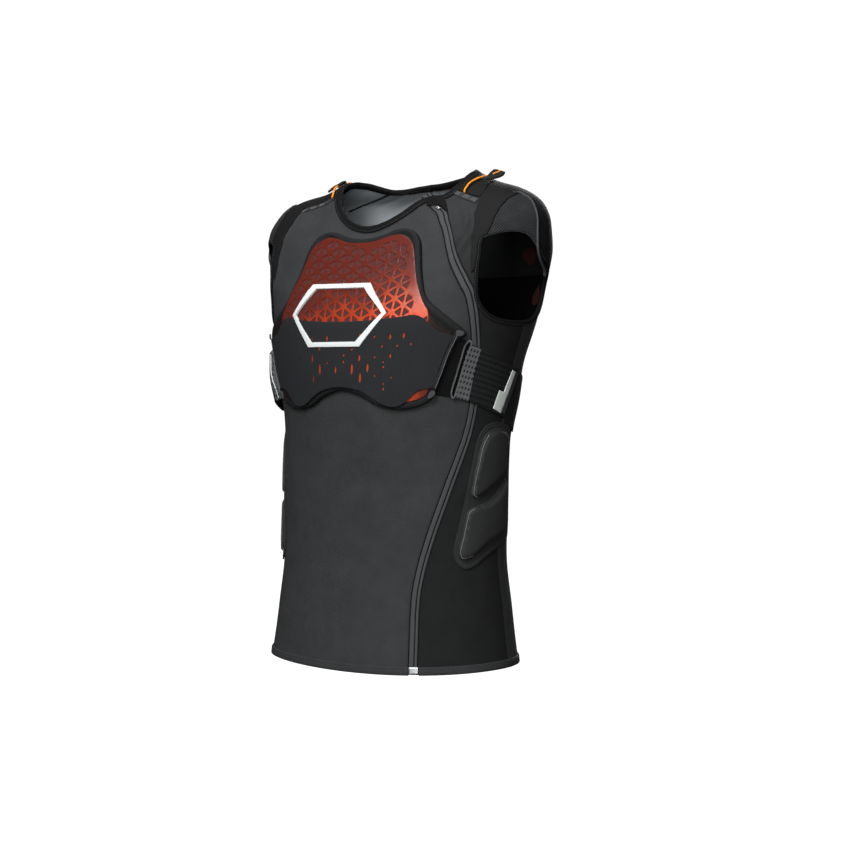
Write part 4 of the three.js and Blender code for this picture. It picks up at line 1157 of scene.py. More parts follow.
def finish_of(key):
    """The named material, made once."""
    if key in STORE:
        return STORE[key]
    c = colours()
    makers = {
        # Knitted polyester of the front: matt grey with a fine crosshatch
        "body_knit": lambda: knit("Knitted Polyester Front", c.knit, roughness=0.75, gloss=0.14),
        # The same knit beside the zip, darkened down the flank by painted shade
        "side_knit": lambda: knit("Knitted Polyester Flank", c.side_knit, painted_shade_share=0.42),
        # Elastic binding tape: black, close and dull
        "binding": lambda: knit("Elastic Binding Tape", c.black, 1.8, 0.25, 0.8, 0.15, 0),
        # Stretch knit bands on the shoulder: black and smooth
        "band_knit": lambda: knit("Stretch Knit Band", c.black, 2.2, 0.2, 0.7, 0.2, 20),
        # Mesh jersey of the caps: lighter dots of open knit
        "cap_knit": lambda: knit("Mesh Jersey Cap", c.cap, 3.0, 0.6, 0.9, 0.15, 45, 0.8),
        # Brushed jersey lining: soft and pale at the neck, passing below into painted shade of the
        # inside
        "lining": lambda: graded(
            "Brushed Jersey Lining", c.lining_painted_shade, c.lining, (-9.8, -6.9, 30.0), -2.15, 0.95,
            Specular_IOR_Level=0.1,
        ),
        # Cloth-covered foam: dull and nearly smooth
        "foam": lambda: mottled(
            "Covered Foam", c.foam, 80.0, 0.2, 0.75, 0.4, 900.0, Specular_IOR_Level=0.25
        ),
        # Foam seen through the lattice: dull dark red, darkened partly by painted shade of the
        # holes' depth
        "recess": lambda: mottled("Foam Recess With Painted Shade", c.recess, 60.0, 0.2, 0.8),
        # Moulded urethane: satin orange; painted light and shade make it deep red at the top and
        # bright towards the lower right
        "plate": lambda: graded(
            "Moulded Urethane Plate", c.plate_painted_shade, c.plate, (3.0, 0.0, -9.0), 1.55, 0.38,
            Specular_IOR_Level=0.4,
        ),
        # Woven cover cloth with upright ribs
        "cover": lambda: ribbed("Woven Cover Cloth", c.cover, 1.7, 0.16, bump=0.25),
        # Rubber badge: clean, even and half matt
        "badge": lambda: mottled("Rubber Badge", c.badge, 30.0, 0.03, 0.45, 0.05),
        # Woven zip tape: twill ribs along its length
        "zip_tape": lambda: ribbed("Woven Zip Tape", c.zip_tape, 1.6, 0.25, 0.7, "Y"),
        # Woven webbing: close dark yarn with rows of small eyelets
        "webbing": lambda: punched("Punched Webbing", c.webbing, 7.2, 3.3, 19),
        # The webbing's folded end: the same eyelets, paler with painted light on the rolled hem
        "webbing_hem_painted_light": lambda: punched("Folded Webbing Hem", c.webbing_hem_painted_light, 7.2, 4.4, 19),
        # Elastic of the back strap: slanting ribs
        "back_elastic": lambda: ribbed("Ribbed Elastic", c.webbing, 4.2, 0.3, 0.8, "X", 35),
        # Two twisted strands of nylon, half glossy
        "loop_cord": lambda: mottled("Twisted Nylon Cord", c.loop, 90.0, 0.2, 0.42, 0.1),
        # Inside of the panels: nearly black, a painted shade of the inside that the light doesn't
        # reach
        "inner_mesh": lambda: mottled(
            "Inside Painted Shade", c.inner, 60.0, 0.2, 0.95, Specular_IOR_Level=0.05
        ),
        # Moulded plate below the cover, darkened towards the wings by painted shade
        "plate_lower": lambda: graded(
            "Moulded Urethane Wing", c.plate_low, c.wing_painted_shade, (30.0, 0.0, 0.0), 2.25, 0.6,
            middle=(0.03, 0.0, 0.0), Specular_IOR_Level=0.15,
        ),
        # Piping along the cover's edge: a folded grey braid
        "piping": lambda: ribbed("Folded Braid Piping", c.piping, 1.8, 0.2, 0.8, "X"),
        # Pale thread of the bar tacks
        "pale_thread": lambda: mottled("Pale Polyester Thread", c.pale_thread, 60.0, 0.1, 0.7),
        # Pale edge of the pads' welds: a painted highlight where the moulded edge catches the light
        "weld": lambda: mottled("Welded Edge", c.weld, 60.0, 0.1, 0.4, 0.05),
        # Red foam behind open mesh: dull, broken by dark threads
        "mesh_patch": lambda: punched("Foam Behind Mesh", c.mesh_patch, 2.4, 2.4, 30, 0.3),
        # Woven elastic between guard and webbing: black, with ribs across its pull
        "elastic": lambda: ribbed("Woven Elastic", c.black, 2.0, 0.3, 0.8, "X"),
        # Rubber tab: pale, smooth and half matt
        "tab": lambda: mottled("Rubber Tab", c.tab, 40.0, 0.06, 0.55, 0.1),
        # Moulded foam pads: dark skin with a soft shine on the shoulders of the moulding
        "pad": lambda: mottled("Moulded Foam Pad", c.pad, 50.0, 0.14, 0.72, 0.2),
        # Cloth of the pads' bases: dark knit, a little shinier than the flank
        "pad_cloth": lambda: knit("Pad Base Cloth", c.pad, 2.4, 0.25, 0.8, 0.4),
        # Braided shoulder cord: bright orange with slanting strands
        "cord": lambda: ribbed("Braided Cord", c.cord, 2.2, 0.3, 0.6, "X", 30),
        # Cast zinc of slider, box and eyelets: bright satin metal
        "metal": lambda: mottled("Die-Cast Zinc", c.metal, 40.0, 0.1, 0.35, 0.1, Metallic=1.0),
        # Grey sewing thread, just lighter than the cloth
        "thread": lambda: mottled("Polyester Thread", c.thread, 60.0, 0.1, 0.7),
        # Black sewing thread, which shows as a row of dark dashes
        "dark_thread": lambda: mottled("Black Polyester Thread", c.black, 60.0, 0.1, 0.7),
    }
    STORE[key] = makers[key]()
    return STORE[key]


# The pieces


def heights():
    """Heights of the stacked layers above the torso surface, in millimetres."""
    s = sizes()
    first = s.clearance
    plate_low = first + s.guard_pad + 1.5 * s.clearance
    cover_low = plate_low + s.guard_plate + s.clearance
    return {
        "first": first,
        "plate_low": plate_low,
        "plate_top": plate_low + s.guard_plate,
        "cover_low": cover_low,
        "cover_top": cover_low + s.guard_cover,
        "badge_top": cover_low + s.guard_cover + s.clearance + 1,
        "tab_low": first + s.webbing + s.clearance,
        "yoke_top": first + s.band,
        "pad_low": first + s.pad_base + s.clearance,
    }


def rounded(rows, per_row=3):
    return catmull([row[:2] for row in rows], True, per_row)


def smooth_path(rows, per_row=4):
    return catmull([row[:2] for row in rows], False, per_row)


def part_of_loop(loop, around, front):
    """The loop's edge on one side of an upright line, from its lower crossing to the upper."""
    loop = leftward(loop)
    kept = []
    for p, q in zip(loop, np.roll(loop, -1, 0)):
        if (p[0] < around) == front:
            kept.append((tuple(p), False))
        if (p[0] < around) != (q[0] < around):
            share = (around - p[0]) / (q[0] - p[0])
            kept.append(((around, p[1] + share * (q[1] - p[1])), True))
    marks = [k for k, (_, crossing) in enumerate(kept) if crossing]
    first = marks[0] if (marks[0] + 1) % len(kept) not in marks else marks[1]
    turned = kept[first:] + kept[:first]
    result = [p for p, _ in turned]
    return result if result[0][1] < result[-1][1] else result[::-1]


def armhole():
    return rounded(ARMHOLE_ROWS, 3)


def neck_edge(around):
    """Chart points of the neck edge at the given degrees."""
    around = np.asarray(around, float)
    return np.stack([around, monotone(*zip(*NECK_EDGE))((around + 180) % 360 - 180)], -1)


def below_neck(path):
    """The part of a path from the hem that stays under the neck edge."""
    low_enough = [p[1] < neck_edge(p[0])[1] - 0.003 for p in path]
    return path[: low_enough.index(False)]


def zip_path():
    return smooth_path(ZIP_ROWS, 5)


SIDES = (("left", 1), ("right", -1))


class VEST_OT_panels(bpy.types.Operator):
    """Makes the body panels with their side seams"""

    bl_idname = "vest.panels"
    bl_label = "Body Panels"

    def execute(self, context):
        s = sizes()
        gap = s.clearance / 4
        half = s.zip_slot / 2 + s.clearance
        path = zip_path()
        left_edge = below_neck(offset_path(path, half))
        right_edge = below_neck(offset_path(path, -half))
        front_edge = part_of_loop(armhole(), 90 - gap, True)
        back_edge = part_of_loop(armhole(), 90 + gap, False)
        front_line = [(90 - gap, 0), *front_edge, (90 - gap, 1)]
        back_line = [(90 + gap, 0), *back_edge]
        top = neck_edge(np.linspace(right_edge[-1][0] + 0.6, 90 - gap, 20))
        side = [*right_edge, *top, *front_line[::-1][1:]]
        top = neck_edge(np.linspace(-90, left_edge[-1][0] - 0.6, 60))
        front = [*on_side(front_line, -1)[:-1], *top, *left_edge[::-1]]
        far = [(360 - a, r) for a, r in back_line]
        top = neck_edge(np.linspace(90 + gap, 270 - gap, 60))
        back = [*back_line, *top, *far[::-1]]
        bands = ["shoulder_band_left", "shoulder_band_right"]
        for name, outline, finish, spacing, flat, flat_area, rests_on in (
            ("front_panel", front, "body_knit", 4.0, (0.46, 0.66), 0.226, bands[1:]),
            ("side_front_panel", side, "side_knit", 2.2, (0.21, 0.66), 0.0555, bands[:1]),
            ("back_panel", back, "body_knit", 4.0, (0.56, 0.68), 0.302, bands),
        ):
            bm = sheet(np.array(outline), -s.fabric, 0, gap=spacing, edge=0)
            # The inward faces take the nearly black painted shade of the inside
            finishes = finish + " inner_mesh"
            piece = finish_piece(bm, name + "_cloth", finishes, [name])
            for polygon in piece.data.polygons:
                outward = Vector((polygon.center.x, polygon.center.y, 0))
                polygon.material_index = int(polygon.normal.dot(outward) < 0)
        return {"FINISHED"}


class VEST_OT_lining(bpy.types.Operator):
    """Makes the lining inside the back, its seam tape and the padding seen through its mesh"""

    bl_idname = "vest.lining"
    bl_label = "Back Lining"

    def execute(self, context):
        s = sizes()
        top = -s.fabric - s.clearance
        low = top - s.lining
        bm = sheet(np.array(LINING_ROWS), low, top, gap=4.0, edge=0)
        piece = finish_piece(bm, "back_lining_cloth", "lining", ["back_lining"])
        path = smooth_path(LINING_SEAM_ROWS, 6)
        section = [(-2.6, low), (-2.4, low - 0.5), (0, low - 0.9), (2.4, low - 0.5), (2.6, low)]
        bm = ribbon(path, section)
        finish_piece(bm, "lining_seam_tape", "binding")
        rows = [(offset_path(path, 1.6), low - 0.85, {}), (offset_path(path, -1.6), low - 0.85, {})]
        stitched("lining_stitches", rows, "thread")
        for name, rows in (("upper", LINING_PATCH_UPPER), ("lower", LINING_PATCH_LOWER)):
            bm = sheet(rounded(rows, 4), low - 0.6, low - 0.1, 3.0, 0)
            finish_piece(bm, f"lining_patch_{name}", "mesh_patch")
        return {"FINISHED"}


# The hem's tape runs all round from one side of the zip to the other, in degrees
HEM_FROM, HEM_TO, HEM_POINTS = 36.7, 391.9, 150
NECK_POINTS = 144
# Where the stitches run, in mm from the edges of neck, hem and armhole
NECK_SEAM, HEM_SEAM, ARMHOLE_SEAM = -6.4, 7.4, 3.2
# The armhole's tape: its width in mm, and how many points of the outline it covers, from the
# top of the armhole's front edge down and round
ARMHOLE_TAPE, ARMHOLE_BOUND = 4.6, 46


class VEST_OT_bindings(bpy.types.Operator):
    """Makes the rolled bindings of the neck and armholes and the turned hem"""

    bl_idname = "vest.bindings"
    bl_label = "Bindings"

    def execute(self, context):
        first = heights()["first"]
        neck = neck_edge(np.linspace(-180, 180, NECK_POINTS + 1)[:-1])
        # The tape folds over the cut edge: outside, roll and inside
        section = [
            (-9.0, first), (-9.0, 1.4), (-8.2, 1.9), (-7.0, 1.7), (-6.0, 2.0), (-3.0, 2.3),
            (-0.5, 2.1), (0.9, 1.2), (1.4, -0.6), (1.1, -2.6), (0.2, -3.8), (-2.0, -4.2),
            (-8.4, -4.0), (-8.8, -3.2), (-8.0, -2.6), (-0.8, -2.2), (-0.4, 0.2),
        ]
        bm = ribbon(neck, section, closed=True)
        finish_piece(bm, "neck_binding_tape", "binding", ["neck_binding"])
        row = offset_path(neck, NECK_SEAM, True)
        row = np.vstack([row, row[:1]])
        stitched("neck_stitches", [(row, 1.9, {})], "thread")
        hem = np.linspace(HEM_FROM, HEM_TO, HEM_POINTS)
        hem = np.stack([hem, 0 * hem], -1)
        section = [
            (0.2, first - 2.6), (-1.0, 0.2), (-0.6, 1.4), (0.6, 1.9), (4.0, 2.0),
            (8.6, 1.9), (9.6, 1.5), (9.9, first), (8.0, 0.3), (1.0, 0.3), (0.9, -2.6),
        ]
        bm = ribbon(hem, section)
        finish_piece(bm, "hem_band_cloth", "body_knit", ["hem_band"])
        row = offset_path(hem, HEM_SEAM)
        stitched("hem_stitches", [(row, 2.0, {})], "dark_thread")
        for name, side in SIDES:
            path = on_side(armhole()[:ARMHOLE_BOUND], side)
            section = [
                (-x * side, z) for x, z in (
                    (ARMHOLE_TAPE, first), (ARMHOLE_TAPE, 1.5), (4.0, 1.9), (2.6, 2.0),
                    (0.4, 2.2), (-0.6, 1.6), (-1.3, 0.2), (-1.5, -1.6), (-0.9, -3.2),
                    (0.4, -3.8), (3.6, -3.7), (4.2, -3.0), (3.0, -2.5), (0.6, -2.2), (0.3, 0.0),
                )
            ]
            bm = ribbon(path, section)
            finish_piece(bm, f"armhole_binding_tape_{name}", "binding",
                         [f"armhole_binding_{name}"])
            row = offset_path(path, -ARMHOLE_SEAM * side)
            stitched(f"armhole_stitches_{name}", [(row, 2.0, {})], "thread")
        return {"FINISHED"}


class VEST_OT_shoulders(bpy.types.Operator):
    """Makes the shoulder bands, caps, yokes and tacked strips"""

    bl_idname = "vest.shoulders"
    bl_label = "Shoulders"

    def execute(self, context):
        s, first = sizes(), heights()["first"]
        band_cap = offset_path(np.array(CAP_OUTER_ROWS), 2 * s.clearance)[::-1]
        band_clear = offset_path(np.array(ARMHOLE_ROWS[:4]), -ARMHOLE_TAPE - s.clearance)
        band = np.vstack([BAND_ROWS, BAND_INNER_ROWS, band_cap, band_clear])
        cap = np.array(CAP_OUTER_ROWS + CAP_LOWER_ROWS)
        for name, side in SIDES:
            yoke, tack = rounded(YOKE_ROWS[side], 2), TACK_ROWS[side]
            for part, rows, thickness, spacing, edge, finish, slot in (
                ("shoulder_band", band, s.band, 4.0, 0.5, "band_knit", "black_binding"),
                ("sleeve_cap", cap, s.cap, 3.5, 0.2, "cap_knit", "cap_knit"),
                ("shoulder_yoke", yoke, s.band, 4.0, 0.5, "band_knit", "black_binding"),
                ("tack_band", tack, s.tack_band, 3.5, 0.4, "body_knit", "charcoal_knit"),
            ):
                bm = sheet(on_side(rows, side), first, first + thickness, spacing, edge)
                nodes = [f"{part}_{name}"]
                piece = finish_piece(bm, f"{part}_cloth_{name}", finish, nodes)
            slit_band(name, side)
            # Bar tacks: crossed stitches between two straight rows
            rows = []
            for low, high in ((0.892, 0.906), (0.915, 0.930), (0.940, 0.955)):
                rises = np.array((low, (low + high) / 2, high))
                line = on_side(np.stack([56.9 - (0.93 - rises) * 14, rises], -1), side)
                for shift, slant in ((-1.0, 0.9), (1.0, 0.9), (-1.9, 0), (1.9, 0)):
                    more = {"pitch": 1.7, "length": 1.9, "slant": slant, "radius": 0.28}
                    rows.append((offset_path(line, shift), first + 1.25, more))
            stitched(f"tack_stitches_{name}", rows, "pale_thread")
        return {"FINISHED"}


def slit_band(name, side):
    """The black elastic behind the cap, which ends in a hook below the armhole's corner."""
    path = on_side(smooth_path(SLIT_ROWS, 5), side)
    first = heights()["first"]
    for part, half, shift, top, finish in (
        ("elastic", 1.9, 0.0, 3.4, "binding"),
        ("edge", 0.5, -2.1 * side, 3.9, "thread"),
    ):
        section = [
            (shift - half, first), (shift - half * 0.9, top - 0.4), (shift, top),
            (shift + half * 0.9, top - 0.4), (shift + half, first),
        ]
        bm = ribbon(path, section)
        finish_piece(bm, f"cap_{part}_{name}", finish)


# Sides of the cord, and the length round it on its cloth map in metres
CORD_SIDES, CORD_GIRTH = 10, 0.008


class VEST_OT_cords(bpy.types.Operator):
    """Makes the shoulder cords and their locks"""

    bl_idname = "vest.cords"
    bl_label = "Shoulder Cords"

    def execute(self, context):
        s, h = sizes(), heights()
        bed = h["yoke_top"] + s.clearance + s.cord_radius
        for name, side in SIDES:
            rows = np.array(CORD_ROWS[side]) * (side, 1, 1)
            path = smooth_path(rows, 5)
            lift = np.interp(np.linspace(0, len(rows) - 1, len(path)), range(len(rows)), rows[:, 2])
            centres = torso().place(path[:, 0], path[:, 1], bed + lift)
            normals = torso().outward(path[:, 0], path[:, 1])
            turns = [2 * math.pi * j / CORD_SIDES for j in range(CORD_SIDES)]
            table = [[] for _ in turns]
            for i, (centre, normal) in enumerate(zip(centres, normals)):
                ahead = Vector(centres[min(i + 1, len(path) - 1)] - centres[max(i - 1, 0)])
                ahead.normalize()
                beside = Vector(normal).cross(ahead).normalized()
                up = ahead.cross(beside)
                for turn, line in zip(turns, table):
                    spoke = beside * math.cos(turn) + up * math.sin(turn)
                    line.append(Vector(centre) + spoke * s.cord_radius * MM)
            round_it = np.arange(CORD_SIDES + 1) / CORD_SIDES * CORD_GIRTH
            bm = tube(table, run_length(centres), round_it)
            finish_piece(bm, f"shoulder_cord_braid_{name}", "cord",
                         [f"shoulder_cord_{name}"])
            low = h["yoke_top"] + s.clearance
            lock = on_side(rounded(LOCK_ROWS[side], 3), side)
            near, steep = LOCK_TILT[side]

            def tilt(points, distance):
                # The lock's free end stands off the shoulder
                return np.clip((np.abs(points[:, 0]) - near) / 11, 0, 1) ** 1.2 * steep + 0.8

            top = low + s.cord_lock
            bm = sheet(lock, low, top, 2.5, 1.2, tilt, True)
            finish_piece(bm, f"cord_lock_body_{name}", "foam", [f"cord_lock_{name}"])
            line = smooth_path(on_side(STRIPE_ROWS[side], side), 4)
            stripe = np.vstack([offset_path(line, 0.9), offset_path(line, -0.9)[::-1]])
            bm = sheet(stripe, top - 0.4, top + 0.6, 2.0, 0.3, tilt, True)
            finish_piece(bm, f"cord_lock_stripe_{name}", "cord")
            # The eyelet the cord runs through
            spot = path[EYELET_POINT[side]]
            unit = torso().scale(spot[:1], spot[1:])[0]
            turns = np.linspace(0, 2 * math.pi, 17)[:-1]
            circle = spot + np.stack([np.cos(turns), np.sin(turns)], -1) * 2.3 / unit
            bm = ribbon(circle, round_section(0.55, bed + 1.6, 8), closed=True)
            finish_piece(bm, f"cord_eyelet_{name}", "metal")
        return {"FINISHED"}


class VEST_OT_zip(bpy.types.Operator):
    """Makes the zip's tapes, stitches, slider, box and garage"""

    bl_idname = "vest.zip"
    bl_label = "Front Zip"

    def execute(self, context):
        h = heights()
        path = zip_path()
        for name, middle, width, low, high, finish in (
            ("zip_strip_inner", 3.5, 5.6, -1.0, 0.35, "zip_tape"),
            ("zip_strip_outer", -2.3, 3.2, -1.0, 0.35, "zip_tape"),
            ("zip_coil", 0, 2.2, -1.6, -0.5, "binding"),
            # Painted shade: thin black strips beside the tapes stand for the shade in the grooves
            # at their edges
            ("zip_groove_shade_inner", 7.3, 1.9, -0.3, 0.12, "binding"),
            ("zip_groove_shade_outer", -4.9, 1.5, -0.3, 0.12, "binding"),
        ):
            bm = ribbon(path, flat_section(width, low, high, 0.2, 4, 0.25, middle))
            replaced = [name] if finish == "zip_tape" else []
            finish_piece(bm, name + "_tape", finish, replaced)
        rows = [
            (offset_path(path, 9.6), 0.12, {"pitch": 2.9, "length": 1.9}),
            (offset_path(path, -6.6), 0.12, {"pitch": 2.9, "length": 1.9}),
        ]
        stitched("zip_stitches", rows, "dark_thread")

        def folded(points, distance):
            # A fold runs down the middle of the flap
            across = (points[:, 0] - 44 - (points[:, 1] - 0.93) * 60) * 2.2
            return 1.6 * np.exp(-((across / 3.0) ** 2)) * np.clip(distance / 3, 0, 1)

        bm = sheet(np.array(GARAGE_ROWS), h["first"], h["first"] + 2.0, 2.5, 0.8, folded)
        finish_piece(bm, "zip_garage_cloth", "binding", ["zip_garage"])
        for name, rows, top in (("zip_slider", SLIDER_ROWS, 2.2), ("zip_box", ZIP_BOX_ROWS, 2.4)):
            bm = sheet(np.array(rows), h["first"], h["first"] + top, 2.5, 0.7)
            finish_piece(bm, name + "_casting", "metal", [name])
        return {"FINISHED"}


# The lattice: the rise it starts at, mm from row to row, degrees from column to column, the
# share of its triangle that a hole takes, and the least share of a hole worth cutting
LATTICE_START = 0.6225
LATTICE_PITCH = 17.5
LATTICE_COLUMN = 4.15
LATTICE_HOLE = 0.68
LATTICE_LEAST = 0.24


def lattice_level():
    """Gives the rise at a height in mm above the lattice's start, along the front centre."""
    rises = np.linspace(0.5, 1, 600)
    lengths = run_length(torso().bare(np.zeros(600), rises))
    start_at = np.interp(LATTICE_START, rises, lengths)
    return lambda length: float(np.interp(start_at + length, lengths, rises))


def lattice_holes(outline, unit):
    """The three-cornered holes of the chest plate in mm, cut along its plain margin."""
    level = lattice_level()
    margin = np.interp(outline[:, 0], (-4, 14), (4.0, 8.5))
    margin = np.where(outline[:, 1] < 0.64, 1.0, margin)
    field = offset_path(outline, margin, closed=True) * unit
    holes = []
    for column in range(-11, 11):
        shift = 0.5 * (column % 2)
        for row in range(-2, 13):
            near, up, far = row + shift, row + shift + 0.5, row + shift + 1
            for triangle in (
                ((column, near), (column + 1, up), (column, far)),
                ((column + 1, up), (column + 1, up + 1), (column, far)),
            ):
                corners = [(c * LATTICE_COLUMN, level(n * LATTICE_PITCH)) for c, n in triangle]
                chart = np.array(corners) * unit
                middle = chart.mean(0)
                hole = leftward(middle + (chart - middle) * LATTICE_HOLE)
                full = area(hole)
                hole = hole if np.all(inside(field, hole)) else clipped(hole, field)
                if hole is None or not inside(field, [hole.mean(0)])[0]:
                    continue
                if area(hole) > LATTICE_LEAST * full:
                    holes.append(blunted(hole))
    return holes


# The foam's rim, in mm from its outer edge: a soft roll of a given rise, its fall to the
# plate, and the sewn groove
RIM_RISE, RIM_ROLL, RIM_FALL, RIM_GROOVE = 2.7, 4.5, 8.0, 3.4


class VEST_OT_chest_guard(bpy.types.Operator):
    """Makes the chest guard: foam base, pierced plate, cover, piping and corner tabs"""

    bl_idname = "vest.chest_guard"
    bl_label = "Chest Guard"

    def execute(self, context):
        self.base()
        self.plate()
        self.lower_plate()
        self.cover()
        self.trims()
        return {"FINISHED"}

    def base(self):
        s, h = sizes(), heights()
        outline = rounded(both_halves(GUARD_HALF), 4)

        def crown(points, distance):
            lip = np.clip(distance / 2.2, 0, 1)
            roll = np.clip(distance / RIM_ROLL, 0, 1)
            fall = np.clip((distance - RIM_FALL) / 2.5, 0, 1)
            groove = 0.7 * np.exp(-(((distance - RIM_GROOVE) / 0.9) ** 2))
            rim = RIM_RISE * np.sqrt(1 - (1 - roll) ** 2) * (1 - fall * fall * (3 - 2 * fall))
            return 1.2 * np.sqrt(1 - (1 - lip) ** 2) + rim - groove

        bm = sheet(outline, h["first"], h["first"] + s.guard_pad - 1.0, 3.0, 1.2, crown)
        piece = finish_piece(bm, "guard_base_foam", "foam", ["guard_base"])
        row = along_outline(outline, RIM_GROOVE)
        stitched("guard_stitches", [(row, h["first"] + s.guard_pad + 2.25, {})],
                 "dark_thread")

    def plate(self):
        h = heights()
        outline = leftward(rounded(both_halves(PLATE_HALF), 4))
        unit = chart_unit(outline)
        bm = pierced(outline, lattice_holes(outline, unit), h["plate_low"], h["plate_top"] + 0.2,
                     4.0, 0.28, unit)
        finish_piece(bm, "guard_plate_moulding", "plate", ["guard_plate"], 40)
        # A shallow floor just under the plate's top fills the holes; its dark red is partly painted
        # shade of their depth
        floor = offset_path(outline, 1.2, closed=True)
        bm = sheet(floor, h["plate_low"] + 0.2, h["plate_top"] - 0.5, 4.0, 0)
        finish_piece(bm, "guard_recess_floor", "recess")

    def lower_plate(self):
        h = heights()
        outline = both_halves(PLATE_LOWER_HALF)
        cover = leftward(rounded(both_halves(COVER_HALF), 3))

        def raised(points, distance):
            # Under the cover the plate comes up against the cloth, so that it fills the slots
            depth = distance_to(cover, points) * np.where(inside(cover, points), 1, 0)
            return np.clip((depth - 3) / 4, 0, 1) * (h["cover_top"] - 0.75 - h["plate_top"])

        bm = sheet(outline, h["plate_low"], h["plate_top"], 4.0, 0.8, raised)
        finish_piece(bm, "guard_plate_lower_moulding", "plate_lower",
                     ["guard_plate_lower"])

    def cover(self):
        h = heights()
        outline = leftward(rounded(both_halves(COVER_HALF), 3))
        unit = chart_unit(outline)
        holes = []
        for around, rise, length in SLOTS:
            half = length / 2
            wide = min(1.0 + length * 0.05, half)
            drop = [(0, half), (-wide * 0.7, half * 0.5), (-wide, 0), (-wide * 0.8, -half * 0.6),
                    (-wide * 0.2, -half), (wide * 0.3, -half), (wide * 0.8, -half * 0.6),
                    (wide, 0), (wide * 0.7, half * 0.5)]
            holes.append(np.array((around, rise)) * unit + np.array(drop))
        bm = pierced(outline, holes, h["cover_top"] - 0.6, h["cover_top"], 3.5, 0.2, unit)
        piece = finish_piece(bm, "guard_cover_cloth", "cover", ["guard_cover"])
        # Loose warp threads hang in upright lines between the slots
        threads = []
        for around in sorted({round(row[0] / 4) * 4 for row in SLOTS}):
            line = np.array([(around, 0.50), (around, 0.545), (around, 0.598)])
            threads.append((smooth_path(line, 8), h["cover_top"],
                            {"pitch": 7.5, "length": 5.5, "radius": 0.2}))
        stitched("cover_threads", threads, "piping")

    def trims(self):
        s, h = sizes(), heights()
        for name, side in SIDES:
            path = guard_end(smooth_path(COVER_HALF[9:14], 4), side)
            away = (s.clearance + 2.4) * side
            low, high = h["plate_low"] + 1.0, h["cover_top"] - 0.7
            section = flat_section(4.4, low, high, 0.5, 6, 0.8, away)
            bm = ribbon(path, section)
            finish_piece(bm, f"cover_piping_cord_{name}", "piping",
                         [f"cover_piping_{name}"])
            line = offset_path(path, (s.clearance + 4.0) * side)
            bm = ribbon(line, round_section(0.45, h["cover_top"] - 0.5, 6))
            finish_piece(bm, f"cover_piping_edge_{name}", "pale_thread")
            for node_name, rows in (("corner_tab_top", CORNER_TOP_ROWS),
                                    ("corner_tab_low", CORNER_LOW_ROWS)):
                low = h["cover_top"] - 0.8
                bm = sheet(guard_end(rounded(rows, 3), side), low, low + 1.2, 3.0, 0.4)
                finish_piece(bm, f"{node_name}_tape_{name}", "zip_tape",
                             [f"{node_name}_{name}"])


# The badge: its middle on the chart, then in mm half its width and height, how far its two
# points reach beyond the flats, and the width of its bars
BADGE_MIDDLE = (-3.5, 0.634)
BADGE_WIDE, BADGE_HIGH, BADGE_POINT, BADGE_BAR = 78, 40, 34, 6


class VEST_OT_badge(bpy.types.Operator):
    """Makes the plain raised badge ring"""

    bl_idname = "vest.badge"
    bl_label = "Badge"

    def execute(self, context):
        h = heights()
        centre = np.array(BADGE_MIDDLE)
        unit = torso().scale(centre[:1], centre[1:])[0]

        def ring(inset):
            wide, high = BADGE_WIDE - inset * 1.1, BADGE_HIGH - inset
            flat = wide - BADGE_POINT
            corners = [(-wide, 0), (-flat, -high), (flat, -high), (wide, 0), (flat, high),
                       (-flat, high)]
            return centre * unit + np.array(corners)

        low, high = h["plate_top"] + 0.3, h["badge_top"]
        bm = pierced(ring(0) / unit, [ring(BADGE_BAR)], low, high, 3.0, 0.35, unit)
        finish_piece(bm, "badge_ring", "badge", ["emblem_upper", "emblem_lower"], 30)
        return {"FINISHED"}


